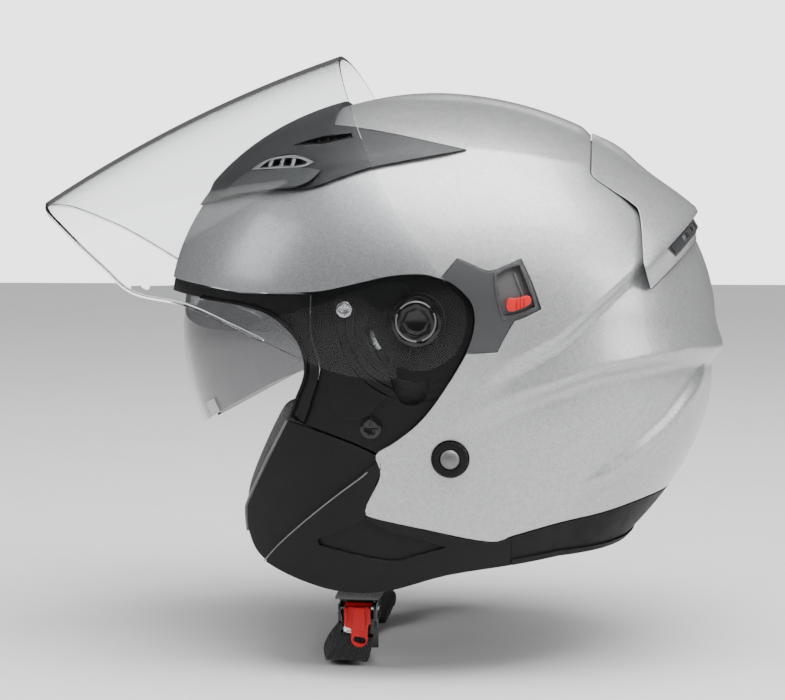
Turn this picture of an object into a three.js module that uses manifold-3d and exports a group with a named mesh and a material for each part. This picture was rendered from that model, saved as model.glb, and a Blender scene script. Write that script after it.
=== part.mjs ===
// Open face motorcycle helmet with a flip-up clear visor and a drop-down sun visor.
// Millimetres. The wearer faces -Y, the wearer's left is +X, up is +Z.
// The origin is the middle of the clear visor's pivot axis, inside the head cavity.
import * as THREE from 'three';
import { mergeVertices } from 'three/addons/utils/BufferGeometryUtils.js';
import Module from 'manifold-3d';

const wasm = await Module();
wasm.setup();

// ---------------------------------------------------------------- driving dimensions
const crownHeight = 110;          // crown above the pivot axis
const halfWidth = 118;            // outer shell at the pivot axis
const widestY = -8;               // where the shell is widest
const frontLength = 129;          // widest place to the forehead
const rearLength = 148;           // widest place to the back
const sliceRoundness = 2.3;       // superellipse power of a horizontal slice
const formDepth = 150;            // straight part of the form below the pivot axis

const shellWall = 4;
const linerOutside = 4.5;
const linerInside = 27;
const padInside = 36;

const visorTravel = THREE.MathUtils.degToRad(63);
const visorHalfWidth = 119.9;     // inner face at the pivots
const visorWall = 2;

const sunVisorY = -20;
const sunVisorZ = -9;
const sunVisorReach = 110.5;
const sunVisorHalfWidth = 105.5;
const sunVisorWall = 2;

const capRadius = 9.2;
const capNeckRadius = 7;
const bossRadius = 13;

// ---------------------------------------------------------------- materials
function finish(color, roughness, metalness, opacity = 1) {
  return new THREE.MeshStandardMaterial({
    color, roughness, metalness, opacity, transparent: opacity < 1,
  });
}
const silverPaint = finish(0xb4b6b8, 0.35, 0.6);
const greySatin = finish(0x55575a, 0.5, 0.2);
const blackPlastic = finish(0x141416, 0.6, 0);
const glossBlack = finish(0x0c0c0e, 0.25, 0);
const blackRubber = finish(0x101011, 0.85, 0);
const redPlastic = finish(0xd3202a, 0.4, 0);
const steel = finish(0xb9bbbd, 0.3, 1);
const foam = finish(0x2a2a2c, 0.95, 0);
const fabric = finish(0x1d1d20, 1, 0);
const webbing = finish(0x151517, 0.95, 0);
const clearPlastic = finish(0xe6ecef, 0.06, 0, 0.3);
const smokePlastic = finish(0x3c3e40, 0.1, 0, 0.7);

// ---------------------------------------------------------------- solids and booleans
function toManifold(geometry) {
  const plain = geometry.clone();
  plain.deleteAttribute('normal');
  plain.deleteAttribute('uv');
  const welded = mergeVertices(plain, 1e-4);
  return new wasm.Manifold(new wasm.Mesh({
    numProp: 3,
    vertProperties: new Float32Array(welded.attributes.position.array),
    triVerts: new Uint32Array(welded.index.array),
  }));
}

function toGeometry(solid) {
  const raw = solid.getMesh();
  const geometry = new THREE.BufferGeometry();
  geometry.setAttribute('position', new THREE.BufferAttribute(new Float32Array(raw.vertProperties), 3));
  geometry.setIndex(new THREE.BufferAttribute(new Uint32Array(raw.triVerts), 1));
  geometry.computeVertexNormals();
  return geometry;
}

const mirrored = (solid) => solid.mirror([1, 0, 0]);

// A side outline, given as [y, z] corners, pushed through from x = low to x = high.
function sidePrism(outline, low = -200, high = 200) {
  const shape = new THREE.Shape(outline.map(([y, z]) => new THREE.Vector2(y, z)));
  const block = new THREE.ExtrudeGeometry(shape, { depth: high - low, bevelEnabled: false });
  const axes = new THREE.Matrix4().makeBasis(
    new THREE.Vector3(0, 1, 0), new THREE.Vector3(0, 0, 1), new THREE.Vector3(1, 0, 0));
  block.applyMatrix4(axes);
  block.translate(low, 0, 0);
  return toManifold(block);
}

// A plan outline, given as [x, y] corners, pushed up from z = low to z = high.
function planPrism(outline, low = -200, high = 200) {
  const shape = new THREE.Shape(outline.map(([x, y]) => new THREE.Vector2(x, y)));
  const block = new THREE.ExtrudeGeometry(shape, { depth: high - low, bevelEnabled: false });
  block.translate(0, 0, low);
  return toManifold(block);
}

// A round bar along X between x = low and x = high.
function crossPin(y, z, radius, low, high, sides = 20) {
  const bar = new THREE.CylinderGeometry(radius, radius, high - low, sides);
  bar.rotateZ(Math.PI / 2);
  bar.translate((low + high) / 2, y, z);
  return toManifold(bar);
}

function box(x, y, z, width, depth, height) {
  return toManifold(new THREE.BoxGeometry(width, depth, height).translate(x, y, z));
}

function arcPoints(y, z, radius, fromDegrees, toDegrees, steps) {
  return Array.from({ length: steps + 1 }, (_, i) => {
    const angle = THREE.MathUtils.degToRad(fromDegrees + (toDegrees - fromDegrees) * i / steps);
    return [y + radius * Math.cos(angle), z + radius * Math.sin(angle)];
  });
}

// ---------------------------------------------------------------- head form
// Every cover, liner and pad follows one smooth form, moved inwards by its own inset.
const signedPower = (value, power) => Math.sign(value) * Math.abs(value) ** power;

function formWidth(z) {
  return halfWidth - 12 * (Math.max(0, -z) / 130) ** 1.5;
}

function formRear(z) {
  const bulge = 3 * Math.sin(Math.min(1, Math.max(0, -z) / 22) * Math.PI / 2);
  const tuck = 0.0055 * Math.max(0, -22 - z) ** 2;
  return rearLength + bulge - Math.min(tuck, 62);
}

const formFront = (z) => frontLength - 14 * Math.max(0, -z) / 130;

// turn runs round Z from +X, lift runs from -1 (bottom) through 0 (pivot axis) to 1 (crown)
function formPoint(turn, lift) {
  const dome = lift > 0;
  const z = dome ? crownHeight * Math.sin(lift * Math.PI / 2) : lift * formDepth;
  const narrowing = dome ? Math.cos(lift * Math.PI / 2) : 1;
  const across = signedPower(Math.cos(turn), 2 / sliceRoundness);
  const along = signedPower(Math.sin(turn), 2 / sliceRoundness);
  const length = along < 0 ? formFront(z) : formRear(z);
  return new THREE.Vector3(
    formWidth(z) * narrowing ** 0.93 * across,
    widestY + length * narrowing * along,
    z,
  );
}

// swell, if given, is an extra outward move that depends on the point's place.
function insetPoint(turn, lift, inset, swell = () => 0) {
  const here = formPoint(turn, lift);
  if (lift > 0.999) return here.setZ(crownHeight - inset);
  const step = 0.004;
  const round = formPoint(turn + step, lift).sub(formPoint(turn - step, lift));
  const rise = formPoint(turn, lift + step).sub(formPoint(turn, lift - step));
  const outward = round.cross(rise).normalize();
  return here.addScaledVector(outward, swell(here) - inset);
}

const fineForm = { around: 44, wallRings: 7, domeRings: 9 };
const plainForm = { around: 28, wallRings: 5, domeRings: 6 };
const capRings = 1;

function headForm(inset, { around, wallRings, domeRings }, swell = undefined) {
  const rings = capRings + wallRings + domeRings;
  const ball = new THREE.SphereGeometry(1, around, rings);
  ball.rotateX(Math.PI / 2);
  const place = ball.attributes.position;
  const uv = ball.attributes.uv;
  for (let i = 0; i < place.count; i += 1) {
    const turn = Math.atan2(place.getY(i), place.getX(i));
    const ring = Math.round(uv.getY(i) * rings) - capRings;
    const lift = ring >= wallRings ? (ring - wallRings) / domeRings : ring / wallRings - 1;
    const point = insetPoint(turn, Math.max(lift, -1), inset, swell);
    if (ring < 0) {
      const shrink = 1 + ring / capRings;
      point.set(point.x * shrink, widestY + (point.y - widestY) * shrink, -formDepth);
    }
    place.setXYZ(i, point.x, point.y, point.z);
  }
  return toManifold(ball);
}

const form = (inset) => headForm(inset, fineForm);

// The layer of the head form between two insets.
const layer = (outside, inside) => form(outside).subtract(form(inside));
const padLayer = (outside, inside) => headForm(outside, plainForm).subtract(headForm(inside, plainForm));

// ---------------------------------------------------------------- scene
const helmet = new THREE.Group();
helmet.name = 'open_face_helmet';

function addPart(name, solid, material) {
  const mesh = new THREE.Mesh(toGeometry(solid), material);
  mesh.name = name;
  helmet.add(mesh);
}

function addPair(name, leftSolid, material) {
  addPart(`${name}_left`, leftSolid, material);
  addPart(`${name}_right`, mirrored(leftSolid), material);
}

const far = 190;

// ---------------------------------------------------------------- side outlines, [y, z]
const browEdge = [[-160, 20], [-128, 18], [-109, 15.5], [-86, 12.5], [-64, 12.5], [-45, 13.5], [-26, 17.5], [-10, 21]];
const recessEdge = [[7, 20.5], [18, 16], [25, 8], [26, -3], [21, -17], [9, -37], [0, -48], [-11, -57], [-19.5, -63]];
const skirtEdge = [[-16.5, -69], [-24.5, -86], [-21, -92], [5, -98], [33, -103.5]];
const rimEdge = [[43, -101], [65, -95.5], [86, -92], [107, -87.5], [125, -85]];

// ---------------------------------------------------------------- outer shell
const coverEdge = [[11.5, 20], [18, 28.5], [32.5, 22], [47, 28.5], [57, 5], [45, 0.5], [36.5, -14.5], [22.5, -14.5]];
const anchorY = 15;
const anchorZ = -64;
const anchorRadius = 8.3;

function grown(outline, amount) {
  const middleY = outline.reduce((sum, p) => sum + p[0], 0) / outline.length;
  const middleZ = outline.reduce((sum, p) => sum + p[1], 0) / outline.length;
  return outline.map(([y, z]) => {
    const reach = Math.hypot(y - middleY, z - middleZ);
    const scale = 1 + amount / reach;
    return [middleY + (y - middleY) * scale, middleZ + (z - middleZ) * scale];
  });
}

// ---------------------------------------------------------------- forehead vent openings
const panelProud = 2;
const ventPlan = planPrism([[20, -120], [110, -120], [110, -20], [20, -20]]);
const lowVentSide = [[-83, 70.4], [-78, 74.6], [-70, 77], [-61, 77], [-52.5, 73.6], [-57, 71.6], [-69, 71.4]];
const highVentSide = [[-64, 82.4], [-52, 85.8], [-38, 87.6], [-36, 85.4], [-51, 83]];
const ventRooms = [lowVentSide, highVentSide].map((side) => sidePrism(grown(side, 0.9), 0, 200).intersect(ventPlan));
const ventRoom = ventRooms[0].add(ventRooms[1]);
const ventPocket = layer(-9, 2.2).intersect(ventRoom);
const ventPockets = ventPocket.add(mirrored(ventPocket));

const anchorHole = crossPin(anchorY, anchorZ, anchorRadius + 0.4, 60, 140);
const anchorHoles = anchorHole.add(mirrored(anchorHole));
const coverPocket = layer(-6, 2.8).intersect(sidePrism(grown(coverEdge, 0.9), 60, 140));
const shellOutline = [...browEdge, ...recessEdge, ...skirtEdge, ...rimEdge, [far, -85], [far, far], [-160, far]];
addPart('outer_shell',
  layer(0, shellWall)
    .intersect(sidePrism(shellOutline))
    .subtract(coverPocket.add(mirrored(coverPocket)))
    .subtract(ventPockets)
    .subtract(anchorHoles),
  silverPaint);

// ---------------------------------------------------------------- sun visor and the slot it turns in
// A lens turned about its own pin axis, so that it slides along itself when it lifts.
function turnedLens(halfWide, reach, steps = 12, sides = 36) {
  const profile = [new THREE.Vector2(0, -halfWide)];
  for (let i = 1; i < steps; i += 1) {
    const angle = -Math.PI / 2 + Math.PI * i / steps;
    profile.push(new THREE.Vector2(
      reach * Math.cos(angle) ** (2 / sliceRoundness),
      halfWide * signedPower(Math.sin(angle), 2 / sliceRoundness),
    ));
  }
  profile.push(new THREE.Vector2(0, halfWide));
  const lens = new THREE.LatheGeometry(profile, sides);
  lens.rotateZ(-Math.PI / 2);
  lens.translate(0, sunVisorY, sunVisorZ);
  return toManifold(lens);
}

const sunVisorOutline = [
  ...arcPoints(sunVisorY, sunVisorZ, 9, 90, -90, 8),
  [-45, -22], [-64, -27.5], [-79, -35], [-95, -43.5], [-110, -52], [-124, -60],
  [-145, -60], [-145, 12], [-110, 13], [-80, 8], [-50, 2],
];
const noseArch = planPrism([[-14, -150], [14, -150], [14, -60], [-14, -60]], -70, -52);
const pinRadius = 3;
const pinHole = crossPin(sunVisorY, sunVisorZ, pinRadius + 0.4, -130, 130, 16);
addPart('sun_visor',
  turnedLens(sunVisorHalfWidth, sunVisorReach)
    .subtract(turnedLens(sunVisorHalfWidth - sunVisorWall, sunVisorReach - sunVisorWall))
    .intersect(sidePrism(sunVisorOutline))
    .subtract(noseArch)
    .subtract(pinHole),
  smokePlastic);

const slotGap = 1.2;
const sunVisorSlot = turnedLens(sunVisorHalfWidth + slotGap, sunVisorReach + slotGap)
  .subtract(turnedLens(sunVisorHalfWidth - sunVisorWall - slotGap, sunVisorReach - sunVisorWall - slotGap))
  .intersect(sidePrism([[0, -24], [-30, -36], [-150, -36], [-150, 110], [-20, 110], [0, 14]]));

// ---------------------------------------------------------------- base plates under the visor ends
const plateOutline = [
  [-50, 12.5], [-45, 13], [-26, 17], [-10, 20.5], [7, 20], [17.6, 15.6], [24.4, 7.6], [25.4, -3], [20.4, -16.6],
  [8.5, -36.6], [-0.5, -47.6], [-11.2, -56.4], [-19.5, -62], [-31, -57], [-54, -49], [-51.5, -40], [-46, -23], [-50, -6],
];
const plateOutside = 3.4;
const plateInside = 6.6;
const bossFace = visorHalfWidth - 0.6;
const arcSlot = sidePrism([
  ...arcPoints(0, 0, 21, 188, 236, 6),
  ...arcPoints(0, 0, 25, 236, 188, 6),
], 90, 140);
const upperScrewY = -34;
const upperScrewZ = 5;
const lowerScrewY = -22;
const lowerScrewZ = -50;
const lowerWindow = sidePrism([[-12, -27], [0, -29], [6, -26], [2, -38], [-8, -38]], 90, 140);
const plate = layer(plateOutside, plateInside)
  .intersect(sidePrism(plateOutline, 60, 140))
  .add(crossPin(0, 0, bossRadius, halfWidth - plateInside + 0.5, bossFace, 28))
  .subtract(arcSlot)
  .subtract(lowerWindow);
const capHole = crossPin(0, 0, capNeckRadius + 0.3, 100, 140, 24);
addPair('visor_base_plate',
  plate
    .subtract(capHole)
    .subtract(crossPin(upperScrewY, upperScrewZ, 2.4, 100, 140, 12))
    .subtract(crossPin(lowerScrewY, lowerScrewZ, 2.9, 100, 140, 12)),
  blackPlastic);

function pivotCap() {
  const neck = crossPin(0, 0, capNeckRadius, halfWidth - plateInside + 0.5, 123, 24);
  const head = crossPin(0, 0, capRadius, 122.4, 124.4, 28);
  return neck.add(head);
}
addPair('visor_pivot_cap', pivotCap(), glossBlack);

// Screw head on the plate's face, with its shank through the plate.
function plateScrew(y, z, headRadius, shankRadius, faceX) {
  return crossPin(y, z, headRadius, faceX, faceX + 1.6, 16)
    .add(crossPin(y, z, shankRadius, faceX - 4.6, faceX + 0.5, 12));
}
addPair('plate_screw_upper', plateScrew(upperScrewY, upperScrewZ, 3.7, 2, 113.6), steel);
addPair('plate_screw_lower', plateScrew(lowerScrewY, lowerScrewZ, 5, 2.5, 111.7), glossBlack);

// ---------------------------------------------------------------- eyeport gasket
const gasketOutline = [
  [-160, 19.3], [-128, 17.3], [-109, 14.8], [-86, 11.8], [-64, 11.8], [-50.5, 11.9],
  [-50.5, -6], [-46.5, -23], [-52, -40], [-54.5, -49.3],
  [-61.5, -46.5], [-58.5, -38], [-53, -24], [-58, -10], [-71, 1.5], [-86, 5.5], [-109, 8.5], [-128, 11], [-160, 12],
];
addPart('eyeport_gasket', layer(1, 5).intersect(sidePrism(gasketOutline)), blackRubber);

// ---------------------------------------------------------------- clear visor, built closed and then lifted
const visorBellyZ = -88;
const visorBack = 300;            // the barrel stays flat behind the pivots
function visorFront(z) {
  return 144.3 - 0.00073 * (z - visorBellyZ) ** 2 + widestY;
}
function visorWidth(z) {
  return visorHalfWidth - 15 * (Math.max(0, -15 - z) / 105) ** 1.2;
}
// A tall barrel whose horizontal slices follow the visor's plan, moved outwards by thick.
function visorBarrel(thick) {
  const barrel = new THREE.CylinderGeometry(1, 1, 1, 52, 10);
  barrel.rotateX(Math.PI / 2);
  const place = barrel.attributes.position;
  const low = -172;
  const high = 60;
  for (let i = 0; i < place.count; i += 1) {
    const turn = Math.atan2(place.getY(i), place.getX(i));
    const radial = Math.min(1, Math.hypot(place.getX(i), place.getY(i)));
    const z = low + (high - low) * (place.getZ(i) + 0.5);
    const across = signedPower(Math.cos(turn), 2 / sliceRoundness);
    const along = signedPower(Math.sin(turn), 2 / sliceRoundness);
    const reach = along < 0 ? visorFront(z) : visorBack;
    place.setXYZ(i,
      radial * (visorWidth(z) + thick) * across,
      widestY + radial * (reach + thick) * along,
      z);
  }
  return toManifold(barrel);
}
const visorOutline = [
  [-160, 16.5], [-128, 16], [-110, 15], [-84, 13.5], [-56, 13], [-32, 16], [-8, 20],
  ...arcPoints(0, 0, 23, 100, -50, 9),
  [19, -23], [6, -43], [-8, -56], [-35, -77.5], [-56, -95.5], [-73, -117],
  [-92, -127], [-119, -141], [-134, -150], [-160, -163],
];
addPart('clear_visor',
  visorBarrel(visorWall)
    .subtract(visorBarrel(0))
    .intersect(sidePrism(visorOutline))
    .subtract(crossPin(0, 0, capNeckRadius + 0.5, -140, 140, 24))
    .rotate([-THREE.MathUtils.radToDeg(visorTravel), 0, 0]),
  clearPlastic);

// ---------------------------------------------------------------- slider cover and sun visor slider
const slotEdge = [[36, 21], [46.4, 25.6], [54, 6.4], [39.5, 2]];
const coverPlate = layer(-0.6, 2.3)
  .intersect(sidePrism(grown(coverEdge, 0.2), 60, 140));
addPart('slider_cover_left', coverPlate.subtract(sidePrism(slotEdge, 60, 140)), greySatin);
addPart('side_cover_right', mirrored(coverPlate), greySatin);

addPart('sun_visor_slider',
  layer(-3.4, 2)
    .intersect(sidePrism([[41, 6], [44, 4.6], [51.6, 8], [50.8, 11.6], [45, 10.4], [41.6, 10.4]], 60, 140)),
  redPlastic);

// ---------------------------------------------------------------- impact liner
const linerSide = [
  [-160, 25], [-128, 23], [-86, 20], [-45, 19], [-20, 8], [-20, -30], [20, -70], [far, -70], [far, far], [-160, far],
];
const plateRoom = form(-10).subtract(form(9.5))
  .intersect(sidePrism([[-62, 22], [32, 26], [32, -30], [8, -60], [-62, -60]]));
const pinSide = crossPin(sunVisorY, sunVisorZ, pinRadius + 0.4, 92, 101, 16)
  .add(crossPin(sunVisorY, sunVisorZ, 6, 100, 112, 16));
const pinRoom = pinSide.add(mirrored(pinSide));
const strapRoom = layer(0, 9).intersect(sidePrism([[-2, -44], [30, -44], [30, -80], [-2, -80]]));
addPart('impact_liner',
  layer(linerOutside, linerInside)
    .intersect(sidePrism(linerSide))
    .subtract(plateRoom)
    .subtract(sunVisorSlot)
    .subtract(anchorHoles)
    .subtract(pinRoom)
    .subtract(strapRoom),
  foam);

const crownPadSide = [[-160, 30], [-60, 30], [-14, 12], [-14, -20], [30, -62], [far, -62], [far, far], [-160, far]];
addPart('comfort_crown_pad',
  padLayer(linerInside + 1.2, padInside).intersect(sidePrism(crownPadSide)),
  fabric);

addPart('neck_roll',
  padLayer(5.8, 24)
    .intersect(sidePrism([[58, -72], [far, -72], [far, -108], [58, -110]])),
  fabric);

// ---------------------------------------------------------------- sun visor pins
addPair('sun_visor_pin',
  crossPin(sunVisorY, sunVisorZ, pinRadius, 94, 106.2, 16)
    .add(crossPin(sunVisorY, sunVisorZ, 5, 106, 108, 16)),
  steel);

// ---------------------------------------------------------------- cheek skirts, cheek pads and rear trim
const skirtBottom = [
  [42.5, -115.5], [13, -119.5], [-15, -127.5], [-36, -128.5], [-52, -125.5], [-68, -120],
  [-79, -113.5], [-84, -103.5], [-84.5, -93.5], [-83, -87.5],
];
const skirtFront = [[-71, -64.5], [-62, -47.6]];
const skirtTop = [[-54.5, -50], [-31, -58], [-20.5, -63]];
const skirtUpper = [[-17, -69], [-25, -86], [-21.4, -92.6], [5, -98.6], [33, -104.1], [42.5, -101.7]];
const skirtOutline = [...skirtUpper, ...skirtBottom, ...skirtFront, ...skirtTop];
const visorSeat = layer(-5, 2.6)
  .intersect(sidePrism([[-14, -62], [-36.4, -80.3], [-57.4, -98], [-74.6, -116], [-80, -130], [-110, -130], [-110, -40], [-40, -40]]));
const scoopEdge = [[-25, -92.5], [-47, -103], [-44, -107.5], [-14.5, -113], [13, -106], [-12, -100]];
const skirt = layer(0, 5)
  .intersect(sidePrism(skirtOutline, 60, 140))
  .subtract(visorSeat)
  .subtract(layer(-5, 1.6).intersect(sidePrism(scoopEdge)));
addPair('cheek_skirt', skirt, blackPlastic);

const cheekPadOutline = [
  [-66, -36], [-70, -46], [-78, -64], [-88, -86], [-89, -100], [-82, -116], [-60, -124],
  [-20, -124], [14, -116], [26, -104], [16, -74], [-12, -60], [-34, -56], [-40, -40],
];
addPair('cheek_pad',
  padLayer(10.2, 38)
    .intersect(sidePrism(cheekPadOutline, 40, 140)),
  fabric);

addPart('rear_rim_trim',
  layer(0.4, 5.2)
    .intersect(sidePrism([
      [43, -101.6], [65, -96.1], [86, -92.6], [107, -88.1], [far, -86], [far, -111],
      [100, -112.5], [72, -112.5], [43, -115.4],
    ])),
  blackRubber);

// ---------------------------------------------------------------- forehead vent panel
const panelOutline = [
  [-140, 54], [-108, 54], [-88, 58.5], [-71, 60.5], [-53, 61], [-39, 66], [-24, 71], [-10, 73.5], [20, 79.5],
  [-12, 87], [-33, 91], [-46, 92], [-46, 130], [-140, 130],
];
addPart('forehead_vent_panel',
  layer(-panelProud, -0.3)
    .intersect(sidePrism(panelOutline))
    .subtract(ventPockets),
  greySatin);

// An arched frame with upright ribs. The shutter slides behind the ribs.
const ribWide = 1.6;
const lowRibs = [-76, -70, -64].map((y) => [[y, 60], [y + ribWide, 60], [y + ribWide, 90], [y, 90]]);
const lowWindow = sidePrism([[-79.5, 72], [-76, 74.4], [-69.5, 75.8], [-61.5, 75.8], [-56, 73.4], [-59, 72.6], [-69, 72.6]]);
const ribBlocks = lowRibs.map((side) => sidePrism(side)).reduce((sum, rib) => sum.add(rib));
const lowVent = layer(-panelProud - 0.8, -0.6)
  .intersect(sidePrism(lowVentSide, 0, 200))
  .intersect(ventPlan)
  .subtract(lowWindow.subtract(ribBlocks));
addPair('low_vent_grille', lowVent, silverPaint);

const shutter = layer(0.2, 1.7)
  .intersect(sidePrism([[-78, 72.2], [-70, 73.2], [-65, 73.4], [-65, 75], [-70, 75], [-75, 74]], 0, 200))
  .intersect(ventPlan);
addPair('low_vent_shutter', shutter, blackPlastic);

const highRibs = [-60, -56, -52, -48, -44].map((y) => [[y, 80], [y + ribWide, 80], [y + ribWide, 95], [y, 95]]);
const highWindow = sidePrism([[-62, 83.2], [-52, 85.2], [-39, 86.7], [-38, 85.8], [-51, 83.8]]);
const highVent = layer(-panelProud + 0.2, 1.8)
  .intersect(sidePrism(highVentSide, 0, 200))
  .intersect(ventPlan)
  .subtract(highWindow
    .subtract(highRibs.map((side) => sidePrism(side)).reduce((sum, rib) => sum.add(rib)))
    .intersect(form(-9).subtract(form(0.6))));
addPair('high_vent_grille', highVent, blackPlastic);

// ---------------------------------------------------------------- rear spoiler and its exhaust grille
const spoilerOutline = [
  [79, 71.5], [80, 67], [89, 60.5], [98, 54.5], [102, 48.5], [103.5, 26], [107, 14],
  [145, 50], [145, 70], [104, 80], [79, 90],
];
const spoilerPlan = planPrism([[-72, 76], [72, 76], [92, 100], [92, 150], [-92, 150], [-92, 100]]);
// The crest is a straight sloping line in side view. The swell fades forwards and falls away below it.
const crestY = 103;
const crestZ = 25;
const crestSlope = Math.atan2(1.036, 1);
const crestProud = 8;
const crestFade = 38;
const rearBand = 11;
function spoilerSwell(at) {
  const above = (at.z - crestZ) * Math.cos(crestSlope) - (at.y - crestY) * Math.sin(crestSlope);
  if (above > 0) return crestProud * Math.max(0, 1 - above / crestFade) ** 1.5;
  return crestProud * Math.max(0, 1 + above / rearBand);
}
// A strip parallel to the crest, from near to far below it.
function crestStrip(near, far, from, to) {
  const along = [Math.cos(crestSlope), Math.sin(crestSlope)];
  const down = [along[1], -along[0]];
  const corner = (run, drop) => [
    crestY + run * along[0] + drop * down[0],
    crestZ + run * along[1] + drop * down[1],
  ];
  return [corner(from, near), corner(to, near), corner(to, far), corner(from, far)];
}
const spoilerDetail = { around: 64, wallRings: 3, domeRings: 20 };
addPart('rear_spoiler',
  headForm(-0.8, spoilerDetail, spoilerSwell)
    .subtract(form(-0.4))
    .intersect(sidePrism(spoilerOutline))
    .intersect(spoilerPlan)
    .subtract(form(-30).subtract(form(-2.4)).intersect(sidePrism(crestStrip(3, 9, 14, 60)))),
  silverPaint);

const exhaustBars = [-45, -30, -15, 0, 15, 30, 45].map((x) => box(x, 120, 40, 9, 60, 60));
const exhaustWindows = exhaustBars
  .reduce((sum, bar) => sum.add(bar))
  .intersect(sidePrism(crestStrip(4.6, 7.4, 16, 60)));
addPart('exhaust_grille',
  layer(-4, -2.8)
    .intersect(sidePrism(crestStrip(3.5, 8.5, 16, 60)))
    .subtract(exhaustWindows),
  greySatin);

// ---------------------------------------------------------------- strap anchors in the shell
const anchorFace = 115.6;
addPair('anchor_ring',
  crossPin(anchorY, anchorZ, anchorRadius, 110.4, anchorFace, 24)
    .subtract(crossPin(anchorY, anchorZ, 5, 100, 140, 20)),
  blackPlastic);
addPair('anchor_rivet', crossPin(anchorY, anchorZ, 4.6, 104.2, anchorFace + 0.4, 18), steel);

// ---------------------------------------------------------------- chin strap
const strapThick = 1.6;
const strapWide = 20;

// A flat band along [x, y, z] stations, its width lying as near to Y as the route allows.
function band(stations, wide, thick, steps) {
  const route = new THREE.CatmullRomCurve3(stations.map((station) => new THREE.Vector3(...station)));
  const strip = new THREE.BoxGeometry(1, 1, 1, 1, 1, steps);
  const place = strip.attributes.position;
  for (let i = 0; i < place.count; i += 1) {
    const along = THREE.MathUtils.clamp(place.getZ(i) + 0.5, 0, 1);
    const centre = route.getPointAt(along);
    const tangent = route.getTangentAt(along);
    const across = new THREE.Vector3(0, 1, 0).addScaledVector(tangent, -tangent.y).normalize();
    const outward = across.clone().cross(tangent);
    centre.addScaledVector(across, place.getY(i) * wide);
    centre.addScaledVector(outward, place.getX(i) * thick);
    place.setXYZ(i, centre.x, centre.y, centre.z);
  }
  return toManifold(strip);
}

const strapDrop = [
  [107.4, 15, -54], [106.5, 12, -68], [104.4, 2, -86], [101.4, -11, -104], [98.8, -23, -120], [93.2, -29.6, -131],
];
const strapEye = crossPin(anchorY, anchorZ, 4.9, 95, 115, 16);
const buckleX = 70;
const buckleY = -33;
const pinZ = -142.5;
addPart('chin_strap_left',
  band([...strapDrop, [84, -32.6, -135.2], [75, buckleY, -135.7], [66.8, buckleY, -135.5]], strapWide, strapThick, 18)
    .subtract(strapEye),
  webbing);
const rightDrop = strapDrop.map(([x, y, z]) => [-x, y, z]).reverse();
const strapLow = -171;
addPart('chin_strap_right',
  band([
    [68.4, buckleY - 5, -168.6], [54, -42, -170], [28, -46, strapLow], [0, -47, strapLow], [-36, -43, -166],
    [-66, -37, -152], ...rightDrop,
  ], strapWide, strapThick, 30)
    .subtract(mirrored(strapEye)),
  webbing);

// A padded sleeve round each strap where it meets the jaw.
const sleeveRoute = [[-30, -43.8, -167.3], [-42, -42.2, -163.4], [-54, -39.8, -158]];
const sleeve = band(sleeveRoute, strapWide + 8, 8, 6)
  .subtract(band([[-20, -45.2, -169], ...sleeveRoute, [-64, -37.5, -153]], strapWide + 1.4, strapThick + 1.6, 12));
addPart('chin_pad', sleeve, fabric);

// ---------------------------------------------------------------- buckle
const frameWall = 1.4;
const flangeY = 9.4;
const frameBack = box(buckleX - 3.6, buckleY, -151, frameWall, 2 * flangeY, 24);
const flange = (side) => box(buckleX + 0.7, buckleY + side * (flangeY - frameWall / 2), -146.5, 10, frameWall, 13);
const bucklePin = (radius, half) => toManifold(
  new THREE.CylinderGeometry(radius, radius, 2 * half, 14).translate(buckleX, buckleY, pinZ));
addPart('buckle_frame',
  frameBack
    .add(flange(1))
    .add(flange(-1))
    .subtract(bucklePin(1.7, 20)),
  blackPlastic);
addPart('buckle_pin', bucklePin(1.4, flangeY + 0.6), steel);

// Pull lever: a plate that hangs in front of the frame, narrowing to a round tab with a slot.
const leverX = buckleX + 3.4;
const leverTop = 6.4;
const tabRadius = 5;
const tabZ = -157;
const leverShape = [
  [buckleY - leverTop, pinZ + 1], [buckleY + leverTop, pinZ + 1], [buckleY + leverTop, -150],
  ...arcPoints(buckleY + 1, tabZ, tabRadius, 0, -180, 8),
  [buckleY - leverTop, -150],
];
const leverPlate = sidePrism(leverShape.reverse(), leverX - 1, leverX + 1);
const tabSlot = sidePrism([
  [buckleY - 2, tabZ - 1.4], [buckleY + 4, tabZ - 1.4], [buckleY + 4, tabZ + 1.4], [buckleY - 2, tabZ + 1.4],
], 60, 90);
const leverHub = toManifold(
  new THREE.CylinderGeometry(2.6, 2.6, 2 * leverTop, 14).translate(buckleX, buckleY, pinZ));
addPart('buckle_lever',
  leverPlate
    .add(leverHub)
    .add(box(buckleX + 2, buckleY, pinZ - 1.2, 3.6, 2 * leverTop, 3.6))
    .subtract(tabSlot)
    .subtract(bucklePin(1.7, 20)),
  redPlastic);

// Toothed tongue on the end of the right strap, lying against the frame's back.
const toothPitch = 2.4;
const toothCount = 6;
const tongueX = buckleX - 1.9;
const tongueStrip = box(tongueX, buckleY - 1.6, -156.6, 1, 12, 21);
const teeth = Array.from({ length: toothCount }, (_, i) =>
  box(tongueX + 0.7, buckleY - 1.6, -148 - i * toothPitch, 1, 9, 1.1));
addPart('ratchet_tongue', teeth.reduce((sum, tooth) => sum.add(tooth), tongueStrip), steel);

export default helmet;
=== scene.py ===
import math
import bpy
import numpy as np
from mathutils import Matrix, Vector


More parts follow.
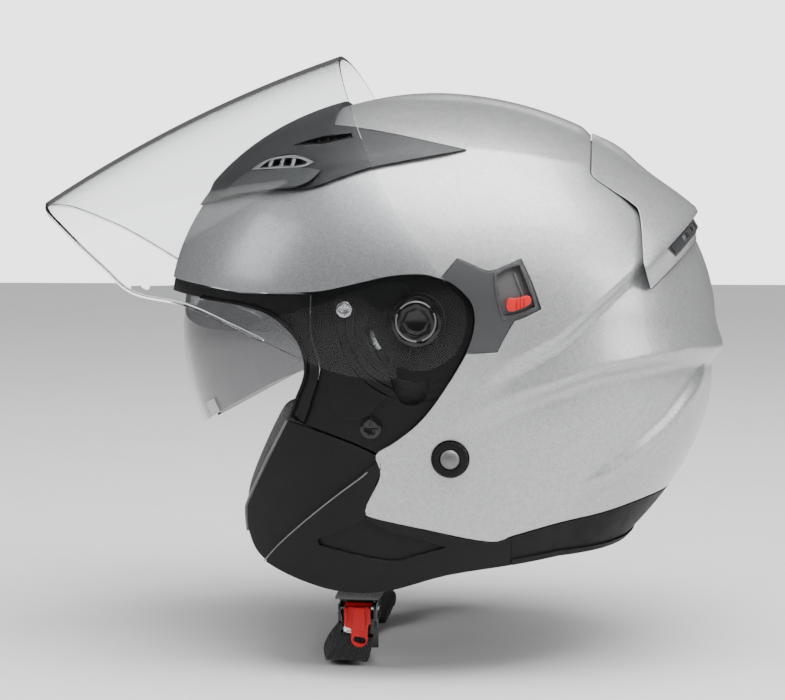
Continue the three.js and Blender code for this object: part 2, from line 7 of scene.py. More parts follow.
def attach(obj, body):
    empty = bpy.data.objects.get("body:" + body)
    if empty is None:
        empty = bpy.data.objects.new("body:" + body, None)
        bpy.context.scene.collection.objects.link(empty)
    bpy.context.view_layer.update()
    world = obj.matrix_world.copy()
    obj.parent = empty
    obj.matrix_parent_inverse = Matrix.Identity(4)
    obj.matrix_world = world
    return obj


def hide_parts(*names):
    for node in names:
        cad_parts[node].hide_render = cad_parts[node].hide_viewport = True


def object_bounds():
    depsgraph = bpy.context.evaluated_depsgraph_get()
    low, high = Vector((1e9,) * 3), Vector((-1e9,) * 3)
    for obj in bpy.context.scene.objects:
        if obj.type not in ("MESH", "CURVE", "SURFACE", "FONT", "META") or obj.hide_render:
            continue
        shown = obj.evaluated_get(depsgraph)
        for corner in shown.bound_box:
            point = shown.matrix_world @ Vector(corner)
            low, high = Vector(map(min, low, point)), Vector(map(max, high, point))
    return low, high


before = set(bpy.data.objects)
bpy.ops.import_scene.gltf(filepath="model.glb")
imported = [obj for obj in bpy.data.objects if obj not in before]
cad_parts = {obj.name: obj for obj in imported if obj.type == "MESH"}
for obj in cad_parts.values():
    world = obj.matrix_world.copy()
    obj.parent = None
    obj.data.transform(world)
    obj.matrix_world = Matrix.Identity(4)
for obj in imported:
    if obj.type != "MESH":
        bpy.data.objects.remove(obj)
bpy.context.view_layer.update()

mm = 0.001
mainBody = "helmet_body"
print("frame loaded")


# shared tools

def clearSelection():
    active = bpy.context.view_layer.objects.active
    if active and active.mode != "OBJECT":
        bpy.ops.object.mode_set(mode="OBJECT")
    bpy.ops.object.select_all(action="DESELECT")


def activate(piece):
    clearSelection()
    piece.select_set(True)
    bpy.context.view_layer.objects.active = piece


def named(name):
    piece = bpy.context.view_layer.objects.active
    piece.name = name
    piece.data.name = name
    return piece


def applyPlace(piece):
    activate(piece)
    bpy.ops.object.transform_apply(location=True, rotation=True, scale=True)


def getPoints(piece):
    flat = np.empty(len(piece.data.vertices) * 3)
    piece.data.vertices.foreach_get("co", flat)
    return flat.reshape(-1, 3)


def setPoints(piece, points):
    piece.data.vertices.foreach_set("co", np.ascontiguousarray(points, dtype=float).ravel())
    piece.data.update()


def applyModifier(piece, kind, **settings):
    activate(piece)
    modifier = piece.modifiers.new(kind.lower(), kind)
    for key, value in settings.items():
        setattr(modifier, key, value)
    bpy.ops.object.modifier_apply(modifier=modifier.name)


def combine(piece, tool, operation="DIFFERENCE"):
    applyModifier(piece, "BOOLEAN", object=tool, operation=operation, solver="MANIFOLD")
    bpy.data.objects.remove(tool)
    return piece


def copyOf(piece, name):
    activate(piece)
    bpy.ops.object.duplicate()
    return named(name)


def mirrorCopy(piece, name):  # the other side of the helmet, turned right way out again
    twin = copyOf(piece, name)
    for key in list(twin.keys()):  # what the left side stands for isn't copied
        del twin[key]
    points = getPoints(twin)
    points[:, 0] *= -1
    setPoints(twin, points)
    bpy.ops.object.mode_set(mode="EDIT")
    bpy.ops.mesh.select_all(action="SELECT")
    bpy.ops.mesh.flip_normals()
    bpy.ops.object.mode_set(mode="OBJECT")
    return twin


def softEdges(piece, width, segments=2, angle=38):
    activate(piece)
    bpy.ops.object.mode_set(mode="EDIT")
    bpy.ops.mesh.select_all(action="SELECT")
    bpy.ops.mesh.remove_doubles(threshold=0.00003)
    bpy.ops.object.mode_set(mode="OBJECT")
    applyModifier(piece, "BEVEL", width=width * mm, segments=segments, limit_method="ANGLE",
                  angle_limit=math.radians(angle), use_clamp_overlap=True, miter_outer="MITER_ARC")


def smooth(piece, angle=34):
    activate(piece)
    bpy.ops.object.shade_smooth_by_angle(angle=math.radians(angle))


def finish(piece, material, bodyName=mainBody, nodes=()):
    piece.data.materials.clear()
    piece.data.materials.append(material)
    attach(piece, bodyName)
    if nodes:
        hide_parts(*nodes)
    return piece


# side outlines are [y, z] in millimetres; round stretches pass through their points

def curved(points, corners=(), steps=5):
    result = []
    count = len(points)
    for i in range(count):
        before, here = points[i - 1], points[i]
        after, beyond = points[(i + 1) % count], points[(i + 2) % count]
        if i in corners:
            before = here
        if (i + 1) % count in corners:
            beyond = after
        for k in range(steps):
            t = k / steps
            result.append([0.5 * (2 * b + (c - a) * t + (2 * a - 5 * b + 4 * c - d) * t * t
                                  + (3 * b - a - 3 * c + d) * t ** 3)
                           for a, b, c, d in zip(before, here, after, beyond)])
    return result


def arc(y, z, radius, start, end, steps=12):
    angles = [math.radians(start + (end - start) * i / steps) for i in range(steps + 1)]
    return [[y + radius * math.cos(a), z + radius * math.sin(a)] for a in angles]


def sideCutter(outline, low=-200, high=200):  # the outline pushed across the helmet
    clearSelection()
    bpy.ops.mesh.primitive_circle_add(vertices=len(outline), fill_type="NGON", radius=1)
    cutter = named("sideCutter")
    setPoints(cutter, [[low * mm, y * mm, z * mm] for y, z in outline])
    bpy.ops.object.mode_set(mode="EDIT")
    bpy.ops.mesh.select_all(action="SELECT")
    bpy.ops.mesh.extrude_region_move(TRANSFORM_OT_translate={"value": ((high - low) * mm, 0, 0)})
    bpy.ops.mesh.select_all(action="SELECT")
    bpy.ops.mesh.normals_make_consistent(inside=False)
    bpy.ops.object.mode_set(mode="OBJECT")
    return cutter


def boxCutter(low, high):
    clearSelection()
    middle = [(a + b) / 2 * mm for a, b in zip(low, high)]
    bpy.ops.mesh.primitive_cube_add(size=1, location=middle,
                                    scale=[(b - a) * mm for a, b in zip(low, high)])
    cutter = named("boxCutter")
    applyPlace(cutter)
    return cutter


def crossBar(y, z, radius, low, high, sides=64):  # a round bar along X
    clearSelection()
    bpy.ops.mesh.primitive_cylinder_add(vertices=sides, radius=radius * mm, depth=(high - low) * mm,
                                        location=((low + high) / 2 * mm, y * mm, z * mm),
                                        rotation=(0, math.pi / 2, 0))
    bar = named("crossBar")
    applyPlace(bar)
    return bar


def seam(name, path, radius, material):  # a welt or a line of piping along a path
    curve = bpy.data.curves.new(name, "CURVE")
    curve.dimensions = "3D"
    curve.bevel_depth = radius * mm
    curve.bevel_resolution = 3
    curve.use_fill_caps = True
    spline = curve.splines.new("POLY")
    spline.points.add(len(path) - 1)
    for point, place in zip(spline.points, path):
        point.co = (*[c * mm for c in place], 1)
    line = bpy.data.objects.new(name, curve)
    bpy.context.collection.objects.link(line)
    activate(line)
    bpy.ops.object.convert(target="MESH")
    line = named(name)
    smooth(line, 60)
    return line


# the head form that shell, liner and pads follow

helmetForm = {
    "crownHeight": 110, "halfWidth": 118, "widestY": -8, "frontLength": 129, "rearLength": 148,
    "roundness": 2.3, "depth": 150,
}


def signedPower(value, power):
    return np.sign(value) * np.abs(value) ** power


def smoothStep(value, low, high):
    t = np.clip((value - low) / (high - low), 0, 1)
    return t * t * (3 - 2 * t)


def formPoint(turn, lift):
    f = helmetForm
    dome = lift > 0
    z = np.where(dome, f["crownHeight"] * np.sin(lift * math.pi / 2), lift * f["depth"])
    narrow = np.where(dome, np.cos(np.minimum(lift, 1) * math.pi / 2), 1.0).clip(1e-9)
    below = np.maximum(0, -z)
    width = f["halfWidth"] - 12 * (below / 130) ** 1.5
    front = f["frontLength"] - 14 * below / 130
    tuck = np.minimum(0.0055 * np.maximum(0, below - 22) ** 2, 62)
    rear = f["rearLength"] + 3 * smoothStep(below, 0, 24) - tuck
    across = signedPower(np.cos(turn), 2 / f["roundness"])
    along = signedPower(np.sin(turn), 2 / f["roundness"])
    length = np.where(along < 0, front, rear)
    return np.stack([width * narrow ** 0.93 * across, f["widestY"] + length * narrow * along, z], axis=-1)


def insetPoints(turn, lift, inset, swell):
    here = formPoint(turn, lift)
    step = 0.003
    round_ = formPoint(turn + step, lift) - formPoint(turn - step, lift)
    rise = formPoint(turn, lift + step) - formPoint(turn, lift - step)
    outward = np.cross(round_, rise)
    outward /= np.linalg.norm(outward, axis=-1, keepdims=True).clip(1e-12)
    outward[lift > 0.99] = (0, 0, 1)
    move = -inset + (swell(here) if swell else 0)
    return here + outward * np.reshape(move * np.ones(len(here)), (-1, 1))


balls = {}  # each fineness of sphere is made once and copied, because the fine ones are slow to make


def ballOf(name, around, rings):
    if (around, rings) not in balls:
        clearSelection()
        bpy.ops.mesh.primitive_uv_sphere_add(segments=around, ring_count=rings, radius=1)
        balls[around, rings] = named("ball")
        balls[around, rings].hide_set(True)
    piece = bpy.data.objects.new(name, balls[around, rings].data.copy())
    bpy.context.collection.objects.link(piece)
    return piece


def formSolid(name, inset, around=96, rings=60, swell=None):
    piece = ballOf(name, around, rings)
    ball = getPoints(piece)
    turn = np.arctan2(ball[:, 1], ball[:, 0])
    latitude = np.degrees(np.arcsin(ball[:, 2].clip(-1, 1)))
    lift = np.where(latitude >= 0, latitude / 90, np.maximum(-1, latitude / 60))
    points = insetPoints(turn, lift, inset, swell)
    cap = latitude < -60.01
    shrink = ((latitude + 90) / 30)[cap]
    points[cap, 0] *= shrink
    points[cap, 1] = helmetForm["widestY"] + (points[cap, 1] - helmetForm["widestY"]) * shrink
    points[cap, 2] = -helmetForm["depth"]
    setPoints(piece, points * mm)
    return piece


def layer(name, outside, inside, around=96, rings=60, swell=None, inner=(96, 60)):
    piece = formSolid(name, outside, around, rings, swell)
    return combine(piece, formSolid("core", inside, *inner))


def trimmed(piece, outline):
    return combine(piece, sideCutter(outline), "INTERSECT")


# reliefs on the shell: creases, crown band, rear spoiler

shellRelief = {
    "shoulder": 1.3, "crownBand": 2.2, "upperAbove": 3.4, "upperBelow": 2.9, "lowerAbove": 4.6,
    "lowerBelow": 2.4,
    "rib": 3.0, "ribHalf": 3.4,
}


def upperCreaseZ(y):
    return np.interp(y, [20, 26, 42, 65, 103, 150], [-37, -34, -21.5, -9, 25, 58])


def lowerCreaseZ(y):
    return np.interp(y, [5, 15, 47, 83, 125, 150], [-54, -50, -36.5, -24, -17.5, -20])


def ribZ(y):
    return np.interp(y, [60, 70, 93, 115, 135, 150], [-91, -85, -71.5, -54, -31, -18])


def shoulderZ(y):
    return np.interp(y, [-20, 19, 50, 78, 105, 140], [84, 79.5, 75.5, 71.5, 64, 50])


def stepFold(below, above, under, reach, drop, recover):  # a lip that swells, then a soft step down
    lip = above * np.exp(-np.maximum(0, -below) / reach)
    depth = above + under * np.exp(-np.maximum(0, below - drop) / recover)
    return lip - depth * smoothStep(below, -3.2, drop)


def shellSwell(at):
    r = shellRelief
    side, y, z = np.abs(at[:, 0]), at[:, 1], at[:, 2]
    upper = stepFold(upperCreaseZ(y) - z, r["upperAbove"], r["upperBelow"], 20, 5, 26)
    total = upper * smoothStep(y, 22, 74) * smoothStep(side, 4, 26)
    lower = stepFold(lowerCreaseZ(y) - z, r["lowerAbove"], r["lowerBelow"], 24, 6, 30)
    total += lower * smoothStep(y, 6, 70)
    away = np.abs(z - ribZ(y)) * 0.8
    ribShape = 1 - smoothStep(away, r["ribHalf"] - 1.4, r["ribHalf"] + 2.2)
    total += r["rib"] * ribShape * smoothStep(y, 66, 92) * (1 - smoothStep(y, 128, 140))
    away = z - shoulderZ(y)
    fade = smoothStep(y, 4, 34) * (1 - smoothStep(y, 76, 84))
    total += r["shoulder"] * np.where(away > 0, np.exp(-away / 14), np.exp(away / 5)) * fade
    fade = smoothStep(y, -52, 10) * (1 - smoothStep(y, 72, 80))
    total += r["crownBand"] * (1 - smoothStep(side, 26, 34)) * smoothStep(z, 60, 80) * fade
    return total


spoiler = {"crestY": 103, "crestZ": 25, "slope": math.atan2(1.036, 1), "proud": 8, "fade": 38,
    "rearBand": 11}


def aboveCrest(at):
    s = spoiler
    return (at[:, 2] - s["crestZ"]) * math.cos(s["slope"]) - (at[:, 1]
        - s["crestY"]) * math.sin(s["slope"])


def spoilerSwell(at):
    s = spoiler
    above = aboveCrest(at)
    crest = np.where(above > 0, (1 - above / s["fade"]).clip(0, 1) ** 1.5,
        (1 + above / s["rearBand"]).clip(0, 1))
    side = np.abs(at[:, 0])
    band = shellRelief["crownBand"] * (1 - smoothStep(side, 24, 30)) * smoothStep(at[:, 2], 60, 80)
    return crest * s["proud"] + band * (1 - smoothStep(at[:, 1], 90, 118))


def crestStrip(near, far, start, end):  # a strip below the crest and parallel to it
    s = spoiler
    along = (math.cos(s["slope"]), math.sin(s["slope"]))
    down = (along[1], -along[0])
    corners = ((start, near), (end, near), (end, far), (start, far))
    return [[s["crestY"] + run * along[0] + drop * down[0], s["crestZ"] + run * along[1] + drop * down[1]]
            for run, drop in corners]


# materials: effects that several surfaces share are groups that give masks and normals

def nodeIn(tree, kind, inputs=None, **settings):
    node = tree.nodes.new(kind)
    for key, value in settings.items():
        setattr(node, key, value)
    for key, value in (inputs or {}).items():
        if isinstance(value, bpy.types.NodeSocket):
            tree.links.new(value, node.inputs[key])
        else:
            node.inputs[key].default_value = value
    return node


def newGroup(name, inputs, outputs):
    tree = bpy.data.node_groups.new(name, "ShaderNodeTree")
    for label, value in inputs.items():
        kind = "NodeSocketVector" if value is None else "NodeSocketFloat"
        socket = tree.interface.new_socket(label, in_out="INPUT", socket_type=kind)
        if value is not None:
            socket.default_value = value
    for label, kind in outputs.items():
        tree.interface.new_socket(label, in_out="OUTPUT", socket_type="NodeSocket" + kind)
    return tree, tree.nodes.new("NodeGroupInput").outputs, tree.nodes.new("NodeGroupOutput").inputs


def mathIn(tree, operation, first, second=0.0, clamp=False):
    return nodeIn(tree, "ShaderNodeMath", {0: first, 1: second}, operation=operation,
        use_clamp=clamp).outputs[0]


def edgeHighlightAndWearGroup():  # sharp outer edges painted lighter, broken up by noise: partly edge wear, partly painted highlight
    tree, given, result = newGroup("edgeHighlightAndWear", {"Vector": None, "Radius": 0.0006, "Breakup": 260.0},
                                   {"Mask": "Float", "Normal": "Vector"})
    rounded = nodeIn(tree, "ShaderNodeBevel", {"Radius": given["Radius"]}, samples=4)
    flat = nodeIn(tree, "ShaderNodeNewGeometry")
    alike = nodeIn(tree, "ShaderNodeVectorMath", {0: rounded.outputs[0], 1: flat.outputs["Normal"]},
                   operation="DOT_PRODUCT").outputs["Value"]
    turned = nodeIn(tree, "ShaderNodeMapRange", {"Value": alike, "From Min": 0.99, "From Max": 0.8})
    noise = nodeIn(tree, "ShaderNodeTexNoise", {"Vector": given["Vector"], "Scale": given["Breakup"],
        "Detail": 3.0})
    broken = nodeIn(tree, "ShaderNodeMapRange", {"Value": noise.outputs[0], "From Min": 0.4,
        "From Max": 0.62})
    tree.links.new(mathIn(tree, "MULTIPLY", turned.outputs[0], broken.outputs[0], True), result["Mask"])
    tree.links.new(rounded.outputs[0], result["Normal"])
    return tree


def grainGroup():  # fine moulded grain
    tree, given, result = newGroup("mouldedGrain", {"Vector": None, "Scale": 1800.0, "Strength": 0.2},
                                   {"Height": "Float", "Mask": "Float"})
    cells = nodeIn(tree, "ShaderNodeTexVoronoi", {"Vector": given["Vector"], "Scale": given["Scale"]})
    noise = nodeIn(tree, "ShaderNodeTexNoise", {"Vector": given["Vector"], "Scale": mathIn(
        tree, "MULTIPLY", given["Scale"], 0.45), "Detail": 4.0})
    height = mathIn(tree, "ADD", cells.outputs["Distance"], noise.outputs[0])
    tree.links.new(mathIn(tree, "MULTIPLY", height, given["Strength"]), result["Height"])
    tree.links.new(noise.outputs[0], result["Mask"])
    return tree


def handlingGroup():  # soft uneven marks from handling
    tree, given, result = newGroup("handling", {"Vector": None, "Scale": 14.0}, {"Mask": "Float"})
    broad = nodeIn(tree, "ShaderNodeTexNoise", {"Vector": given["Vector"], "Scale": given["Scale"],
        "Detail": 5.0,
                                                "Roughness": 0.65, "Distortion": 0.6})
    fine = nodeIn(tree, "ShaderNodeTexNoise", {"Vector": given["Vector"], "Scale": mathIn(
        tree, "MULTIPLY", given["Scale"], 11.0), "Detail": 4.0})
    both = mathIn(tree, "MULTIPLY", broad.outputs[0], mathIn(tree, "ADD", fine.outputs[0], 0.5))
    tree.links.new(nodeIn(tree, "ShaderNodeMapRange", {"Value": both, "From Min": 0.3,
        "From Max": 0.7}).outputs[0],
                   result["Mask"])
    return tree


def knitGroup():  # small open stitches, seen as height and as gaps
    tree, given, result = newGroup("knit", {"Vector": None, "Scale": 900.0},
        {"Height": "Float", "Gap": "Float"})
    stitch = nodeIn(tree, "ShaderNodeTexVoronoi", {"Vector": given["Vector"], "Scale": given["Scale"],
                                                   "Randomness": 0.75}).outputs["Distance"]
    tree.links.new(stitch, result["Height"])
    hole = nodeIn(tree, "ShaderNodeMapRange", {"Value": stitch, "From Min": 0.42, "From Max": 0.16})
    tree.links.new(hole.outputs[0], result["Gap"])
    return tree


groups = {"edge": edgeHighlightAndWearGroup(), "grain": grainGroup(), "handling": handlingGroup(),
    "knit": knitGroup()}


def newMaterial(name, **sockets):
    material = bpy.data.materials.new(name)
    material.use_nodes = True
    tree = material.node_tree
    shader = tree.nodes["Principled BSDF"]
    for label, value in sockets.items():
        shader.inputs[label.replace("_", " ")].default_value = value
    where = tree.nodes.new("ShaderNodeTexCoord").outputs["Object"]
    return material, tree, shader, where


def useGroup(tree, kind, where, **values):
    node = tree.nodes.new("ShaderNodeGroup")
    node.node_tree = groups[kind]
    tree.links.new(where, node.inputs["Vector"])
    for label, value in values.items():
        node.inputs[label].default_value = value
    return node.outputs


def mixColours(tree, mask, first, second):
    mix = nodeIn(tree, "ShaderNodeMix", data_type="RGBA")
    tree.links.new(mask, mix.inputs[0])
    for socket, colour in ((mix.inputs[6], first), (mix.inputs[7], second)):
        if isinstance(colour, bpy.types.NodeSocket):
            tree.links.new(colour, socket)
        else:
            socket.default_value = (*colour, 1)
    return mix.outputs[2]


def span(tree, value, low, high):
    return nodeIn(tree, "ShaderNodeMapRange", {"Value": value, "To Min": low, "To Max": high}).outputs[0]


def bump(tree, shader, height, distance, normal=None, strength=1.0):
    node = nodeIn(tree, "ShaderNodeBump", {"Height": height, "Distance": distance, "Strength": strength})
    if normal is not None:
        tree.links.new(normal, node.inputs["Normal"])
    tree.links.new(node.outputs[0], shader.inputs["Normal"])


def plasticMaterial(name, colour, litAndWornEdge, rough, grain=1800.0, depth=0.000012, edge=0.0005, metallic=0.0,
    coat=0.0):
    material, tree, shader, where = newMaterial(name, Metallic=metallic, Coat_Weight=coat,
        Coat_Roughness=0.06,
                                                Specular_IOR_Level=0.5 if metallic else 0.18)
    highlightAndWear = useGroup(tree, "edge", where, Radius=edge)
    fine = useGroup(tree, "grain", where, Scale=grain)
    marks = useGroup(tree, "handling", where)
    uneven = mixColours(tree, marks["Mask"], colour, [c * 0.84 for c in colour])
    # sharp edges mixed towards a lighter colour: partly wear, partly painted highlight
    tree.links.new(mixColours(tree, mathIn(tree, "MULTIPLY", highlightAndWear["Mask"], 0.5), uneven, litAndWornEdge),
                   shader.inputs["Base Color"])
    tree.links.new(span(tree, marks["Mask"], rough * 0.88, min(1, rough * 1.22)),
        shader.inputs["Roughness"])
    bump(tree, shader, fine["Height"], depth, highlightAndWear["Normal"])
    return material


def paintMaterial(name, colour, dark, rough=0.3, coat=0.5):  # metallic flake under a clear coat
    material, tree, shader, where = newMaterial(name, Metallic=0.6, Coat_Weight=coat, Coat_Roughness=0.06)
    flake = nodeIn(tree, "ShaderNodeTexVoronoi", {"Vector": where, "Scale": 2600.0})
    tone = nodeIn(tree, "ShaderNodeSeparateColor", {0: flake.outputs["Color"]}).outputs[0]
    broad = nodeIn(tree, "ShaderNodeTexNoise", {"Vector": where, "Scale": 420.0, "Detail": 5.0})
    mixed = mathIn(tree, "MULTIPLY", mathIn(tree, "ADD", tone, broad.outputs[0]), 0.5)
    marks = useGroup(tree, "handling", where)
    highlightAndWear = useGroup(tree, "edge", where, Radius=0.0007)
    tree.links.new(mixColours(tree, mixed, dark, colour), shader.inputs["Base Color"])
    rough = mathIn(tree, "ADD", span(tree, marks["Mask"], rough, rough + 0.08),
        mathIn(tree, "MULTIPLY", tone, 0.08))
    tree.links.new(rough, shader.inputs["Roughness"])
    bump(tree, shader, tone, 0.00002, highlightAndWear["Normal"], 0.5)
    return material


def clothMaterial(name, colour, gap, scale, depth, sheen=0.25):
    material, tree, shader, where = newMaterial(name, Roughness=0.95, Sheen_Weight=sheen,
        Sheen_Roughness=0.5)
    threads = useGroup(tree, "knit", where, Scale=scale)
    marks = useGroup(tree, "handling", where, Scale=22.0)
    fibre = nodeIn(tree, "ShaderNodeTexNoise", {"Vector": where, "Scale": 1500.0, "Detail": 3.0})
    base = mixColours(tree, marks["Mask"], colour, [c * 0.72 for c in colour])
    tree.links.new(mixColours(tree, threads["Gap"], base, gap), shader.inputs["Base Color"])
    height = mathIn(tree, "ADD", threads["Height"], mathIn(tree, "MULTIPLY", fibre.outputs[0], 0.5))
    bump(tree, shader, height, depth)
    return material


def webbingMaterial():  # ribs along and across the strap, from its own UV map
    material, tree, shader, _ = newMaterial("webbing", Roughness=0.8, Sheen_Weight=0.15)
    where = tree.nodes["Texture Coordinate"].outputs["UV"]
    split = nodeIn(tree, "ShaderNodeSeparateXYZ", {0: where})
    along = mathIn(tree, "SINE", mathIn(tree, "MULTIPLY", split.outputs[0], 2200.0))
    across = mathIn(tree, "SINE", mathIn(tree, "MULTIPLY", split.outputs[1], 3600.0))
    height = mathIn(tree, "MULTIPLY", along, across)
    shown = span(tree, height, 0, 1)
    tree.links.new(mixColours(tree, shown, (0.006, 0.006, 0.007), (0.028, 0.028, 0.03)),
        shader.inputs["Base Color"])
    bump(tree, shader, height, 0.00018)
    return material


def foamMaterial():
    material, tree, shader, where = newMaterial("foam", Roughness=0.92)
    beads = nodeIn(tree, "ShaderNodeTexVoronoi", {"Vector": where, "Scale": 300.0}, feature="F1")
    marks = useGroup(tree, "handling", where)
    tree.links.new(mixColours(tree, marks["Mask"], (0.022, 0.022, 0.024), (0.04, 0.04, 0.042)),
                   shader.inputs["Base Color"])
    bump(tree, shader, mathIn(tree, "SUBTRACT", 1.0, beads.outputs["Distance"]), 0.0004)
    return material


def steelMaterial():
    material, tree, shader, where = newMaterial("steel", Metallic=1.0)
    marks = useGroup(tree, "handling", where, Scale=60.0)
    highlightAndWear = useGroup(tree, "edge", where, Radius=0.0004)
    tree.links.new(mixColours(tree, marks["Mask"], (0.62, 0.62, 0.63), (0.42, 0.42, 0.44)),
        shader.inputs["Base Color"])
    tree.links.new(span(tree, marks["Mask"], 0.16, 0.34), shader.inputs["Roughness"])
    lines = nodeIn(tree, "ShaderNodeTexNoise", {"Vector": where, "Scale": 900.0})
    bump(tree, shader, lines.outputs[0], 0.00003, highlightAndWear["Normal"])
    return material


def lensMaterial(name, colour, rough, bend):
    material, tree, shader, where = newMaterial(name, Metallic=0.0, Transmission_Weight=1.0, IOR=bend)
    marks = useGroup(tree, "handling", where, Scale=9.0)
    tree.links.new(mixColours(tree, marks["Mask"], colour, [c * 0.97 for c in colour]),
        shader.inputs["Base Color"])
    tree.links.new(span(tree, marks["Mask"], rough, rough * 2.2), shader.inputs["Roughness"])
    return material


silverPaint = paintMaterial("silverPaint", (0.54, 0.545, 0.555), (0.27, 0.273, 0.28))
panelGrey = paintMaterial("panelGrey", (0.07, 0.071, 0.074), (0.036, 0.037, 0.039), 0.5, 0.05)
scoopGrey = paintMaterial("scoopGrey", (0.13, 0.132, 0.137), (0.075, 0.076, 0.08), 0.45, 0.05)
# each plastic's second colour is its edge colour: partly wear, partly painted highlight
greySatin = plasticMaterial("greySatin", (0.075, 0.076, 0.08), (0.4, 0.4, 0.42), 0.42, metallic=0.55)
blackPlastic = plasticMaterial("blackPlastic", (0.005, 0.005, 0.0055), (0.06, 0.06, 0.063), 0.42)
glossBlack = plasticMaterial("glossBlack", (0.004, 0.004, 0.0045), (0.1, 0.1, 0.11), 0.2, depth=0.00001,
    coat=0.5)
rubber = plasticMaterial("rubber", (0.007, 0.007, 0.0075), (0.03, 0.03, 0.032), 0.62, grain=1300.0,
    depth=0.00007)
redPlastic = plasticMaterial("redPlastic", (0.62, 0.018, 0.02), (0.8, 0.2, 0.16), 0.34, depth=0.00002)
greyMetal = plasticMaterial("greyMetal", (0.2, 0.2, 0.205), (0.5, 0.5, 0.5), 0.4, metallic=0.9)
liningCloth = clothMaterial("liningCloth", (0.03, 0.03, 0.033), (0.004, 0.004, 0.004), 2100.0, 0.0002,
    0.06)
meshCloth = clothMaterial("meshCloth", (0.075, 0.075, 0.078), (0.002, 0.002, 0.002), 820.0, 0.00035, 0.06)
pipingCloth = clothMaterial("pipingCloth", (0.17, 0.17, 0.175), (0.05, 0.05, 0.05), 4200.0, 0.0002)
webbing = webbingMaterial()
foam = foamMaterial()
steel = steelMaterial()
clearLens = lensMaterial("clearLens", (0.88, 0.89, 0.895), 0.004, 1.22)
smokeLens = lensMaterial("smokeLens", (0.46, 0.46, 0.47), 0.008, 1.4)
print("materials made")


# outer shell

shell = {"wall": 4, "around": 340, "rings": 250, "anchor": (15, -64), "anchorHole": 8.8}
browEdge = [[-64, 12.6], [-45, 13.5], [-26, 17.6], [-14, 20.3], [-2, 21.4], [7, 20.5], [18, 16],
    [24.5, 9],
            [26.4, 2], [25.6, -7], [21, -18], [9.5, -36.4], [0, -48], [-11, -56.8], [-19.5, -62.6],
            [-17.4, -72],
            [-23.5, -85], [-25, -89.5], [-21, -92.4], [4.5, -97.7], [33, -103.5], [43, -101], [65, -95.6],
            [86, -92.2],
            [107, -87.5], [122, -85.4]]
shellOutline = (curved([[-112, 16], [-86, 12.6]] + browEdge, range(0, 28), 1)[:2]
                + curved(browEdge + [[200, -85], [200, 0]], (0, 25, 26, 27), 4)[:4 * 25 + 1]
                + [[200, -85], [200, 190], [-160, 190], [-160, 20], [-128, 18]])
coverOutline = curved([[11.4, 19.8], [18.3, 28.2], [25, 25.4], [32.5, 22.4], [40, 24.8], [46.8, 28.2],
    [52, 17],
                       [56.3, 5.3], [50, 2.4], [44, 0.2], [40.5, -6], [36.6, -13.9], [29, -14.4],
                       [22.6, -14.4],
                       [25.6, -6], [26.4, 2], [24.5, 9], [18.6, 15.2]],
                      (0, 1, 5, 7, 9, 11, 13), 4)


def grown(outline, amount):
    points = np.array(outline)
    middle = points.mean(axis=0)
    reach = np.linalg.norm(points - middle, axis=1, keepdims=True)
    return (middle + (points - middle) * (1 + amount / reach)).tolist()


lowVentOutline = curved([[-85, 70.6], [-79, 74.6], [-70, 77], [-61, 77.2], [-52, 73.8], [-57, 71.4],
    [-69, 71]], (0, 4), 5)
highVentOutline = curved([[-64, 82.4], [-52, 85.6], [-36, 87.8], [-35, 85.6], [-51, 83]], (0, 2, 3), 4)


def ventPockets(depth):
    rooms = []
    for outline in (lowVentOutline, highVentOutline):
        room = combine(layer("room", -9, depth, 96, 60), sideCutter(grown(outline, 0.5), 20, 110),
            "INTERSECT")
        rooms += [room, mirrorCopy(room, "roomRight")]
    return rooms


panelOutline = curved([[-88, 58.6], [-71, 60.4], [-53, 61.2], [-39, 66], [-24, 71], [-10, 73.8],
    [20, 79.5], [-12, 86.8],
                       [-33, 90.6], [-46, 92.4]], (0, 6, 9), 5)[:46] + [[-46, 130], [-140, 130],
                       [-140, 54], [-108, 55]]
spoilerOutline = curved([[79, 71.5], [80, 67], [89, 60.5], [98, 54.5], [102, 48.5], [103.5, 26],
    [107, 14], [145, 50],
                         [145, 70], [104, 80], [79, 90]], (0, 5, 6, 7, 8, 9, 10), 5)
spoilerPlan = [[-72, 76], [72, 76], [92, 100], [92, 150], [-92, 150], [-92, 100]]


def planCutter(outline, low=-200, high=200):
    cutter = sideCutter(outline, low, high)
    points = getPoints(cutter)
    setPoints(cutter, points[:, [1, 2, 0]])
    return cutter


outerShell = layer("outerShell", 0, shell["wall"], shell["around"], shell["rings"], shellSwell)
outerShell = trimmed(outerShell, shellOutline)
gap = combine(layer("gap", -14, 1.6), sideCutter(grown(spoilerOutline, 0.8)), "INTERSECT")
combine(gap, planCutter(grown(spoilerPlan, 0.8)), "INTERSECT")
combine(outerShell, gap)
gap = combine(layer("gap", -9, 1.4), sideCutter(grown(panelOutline, 0.5)), "INTERSECT")
combine(outerShell, gap)
for side in (1, -1):
    pocket = combine(layer("pocket", -6, 2.8), sideCutter(grown(coverOutline, 0.5),
        *sorted((60 * side, 140 * side))),
                     "INTERSECT")
    combine(outerShell, pocket)
for room in ventPockets(2.2):
    combine(outerShell, room)
combine(outerShell, crossBar(*shell["anchor"], shell["anchorHole"], -140, 140))
smooth(outerShell)
finish(outerShell, silverPaint, nodes=["outer_shell"])
print("shell", len(outerShell.data.polygons))


# rear spoiler and its exhaust grille

rearSpoiler = combine(formSolid("rearSpoiler", -0.8, 240, 150, spoilerSwell),
    formSolid("core", 1.4, 96, 60))
trimmed(rearSpoiler, spoilerOutline)
combine(rearSpoiler, planCutter(spoilerPlan), "INTERSECT")
band = combine(layer("band", -30, -2.6), sideCutter(crestStrip(3, 9, 14, 60)), "INTERSECT")
combine(rearSpoiler, band)
smooth(rearSpoiler)
finish(rearSpoiler, silverPaint, nodes=["rear_spoiler"])

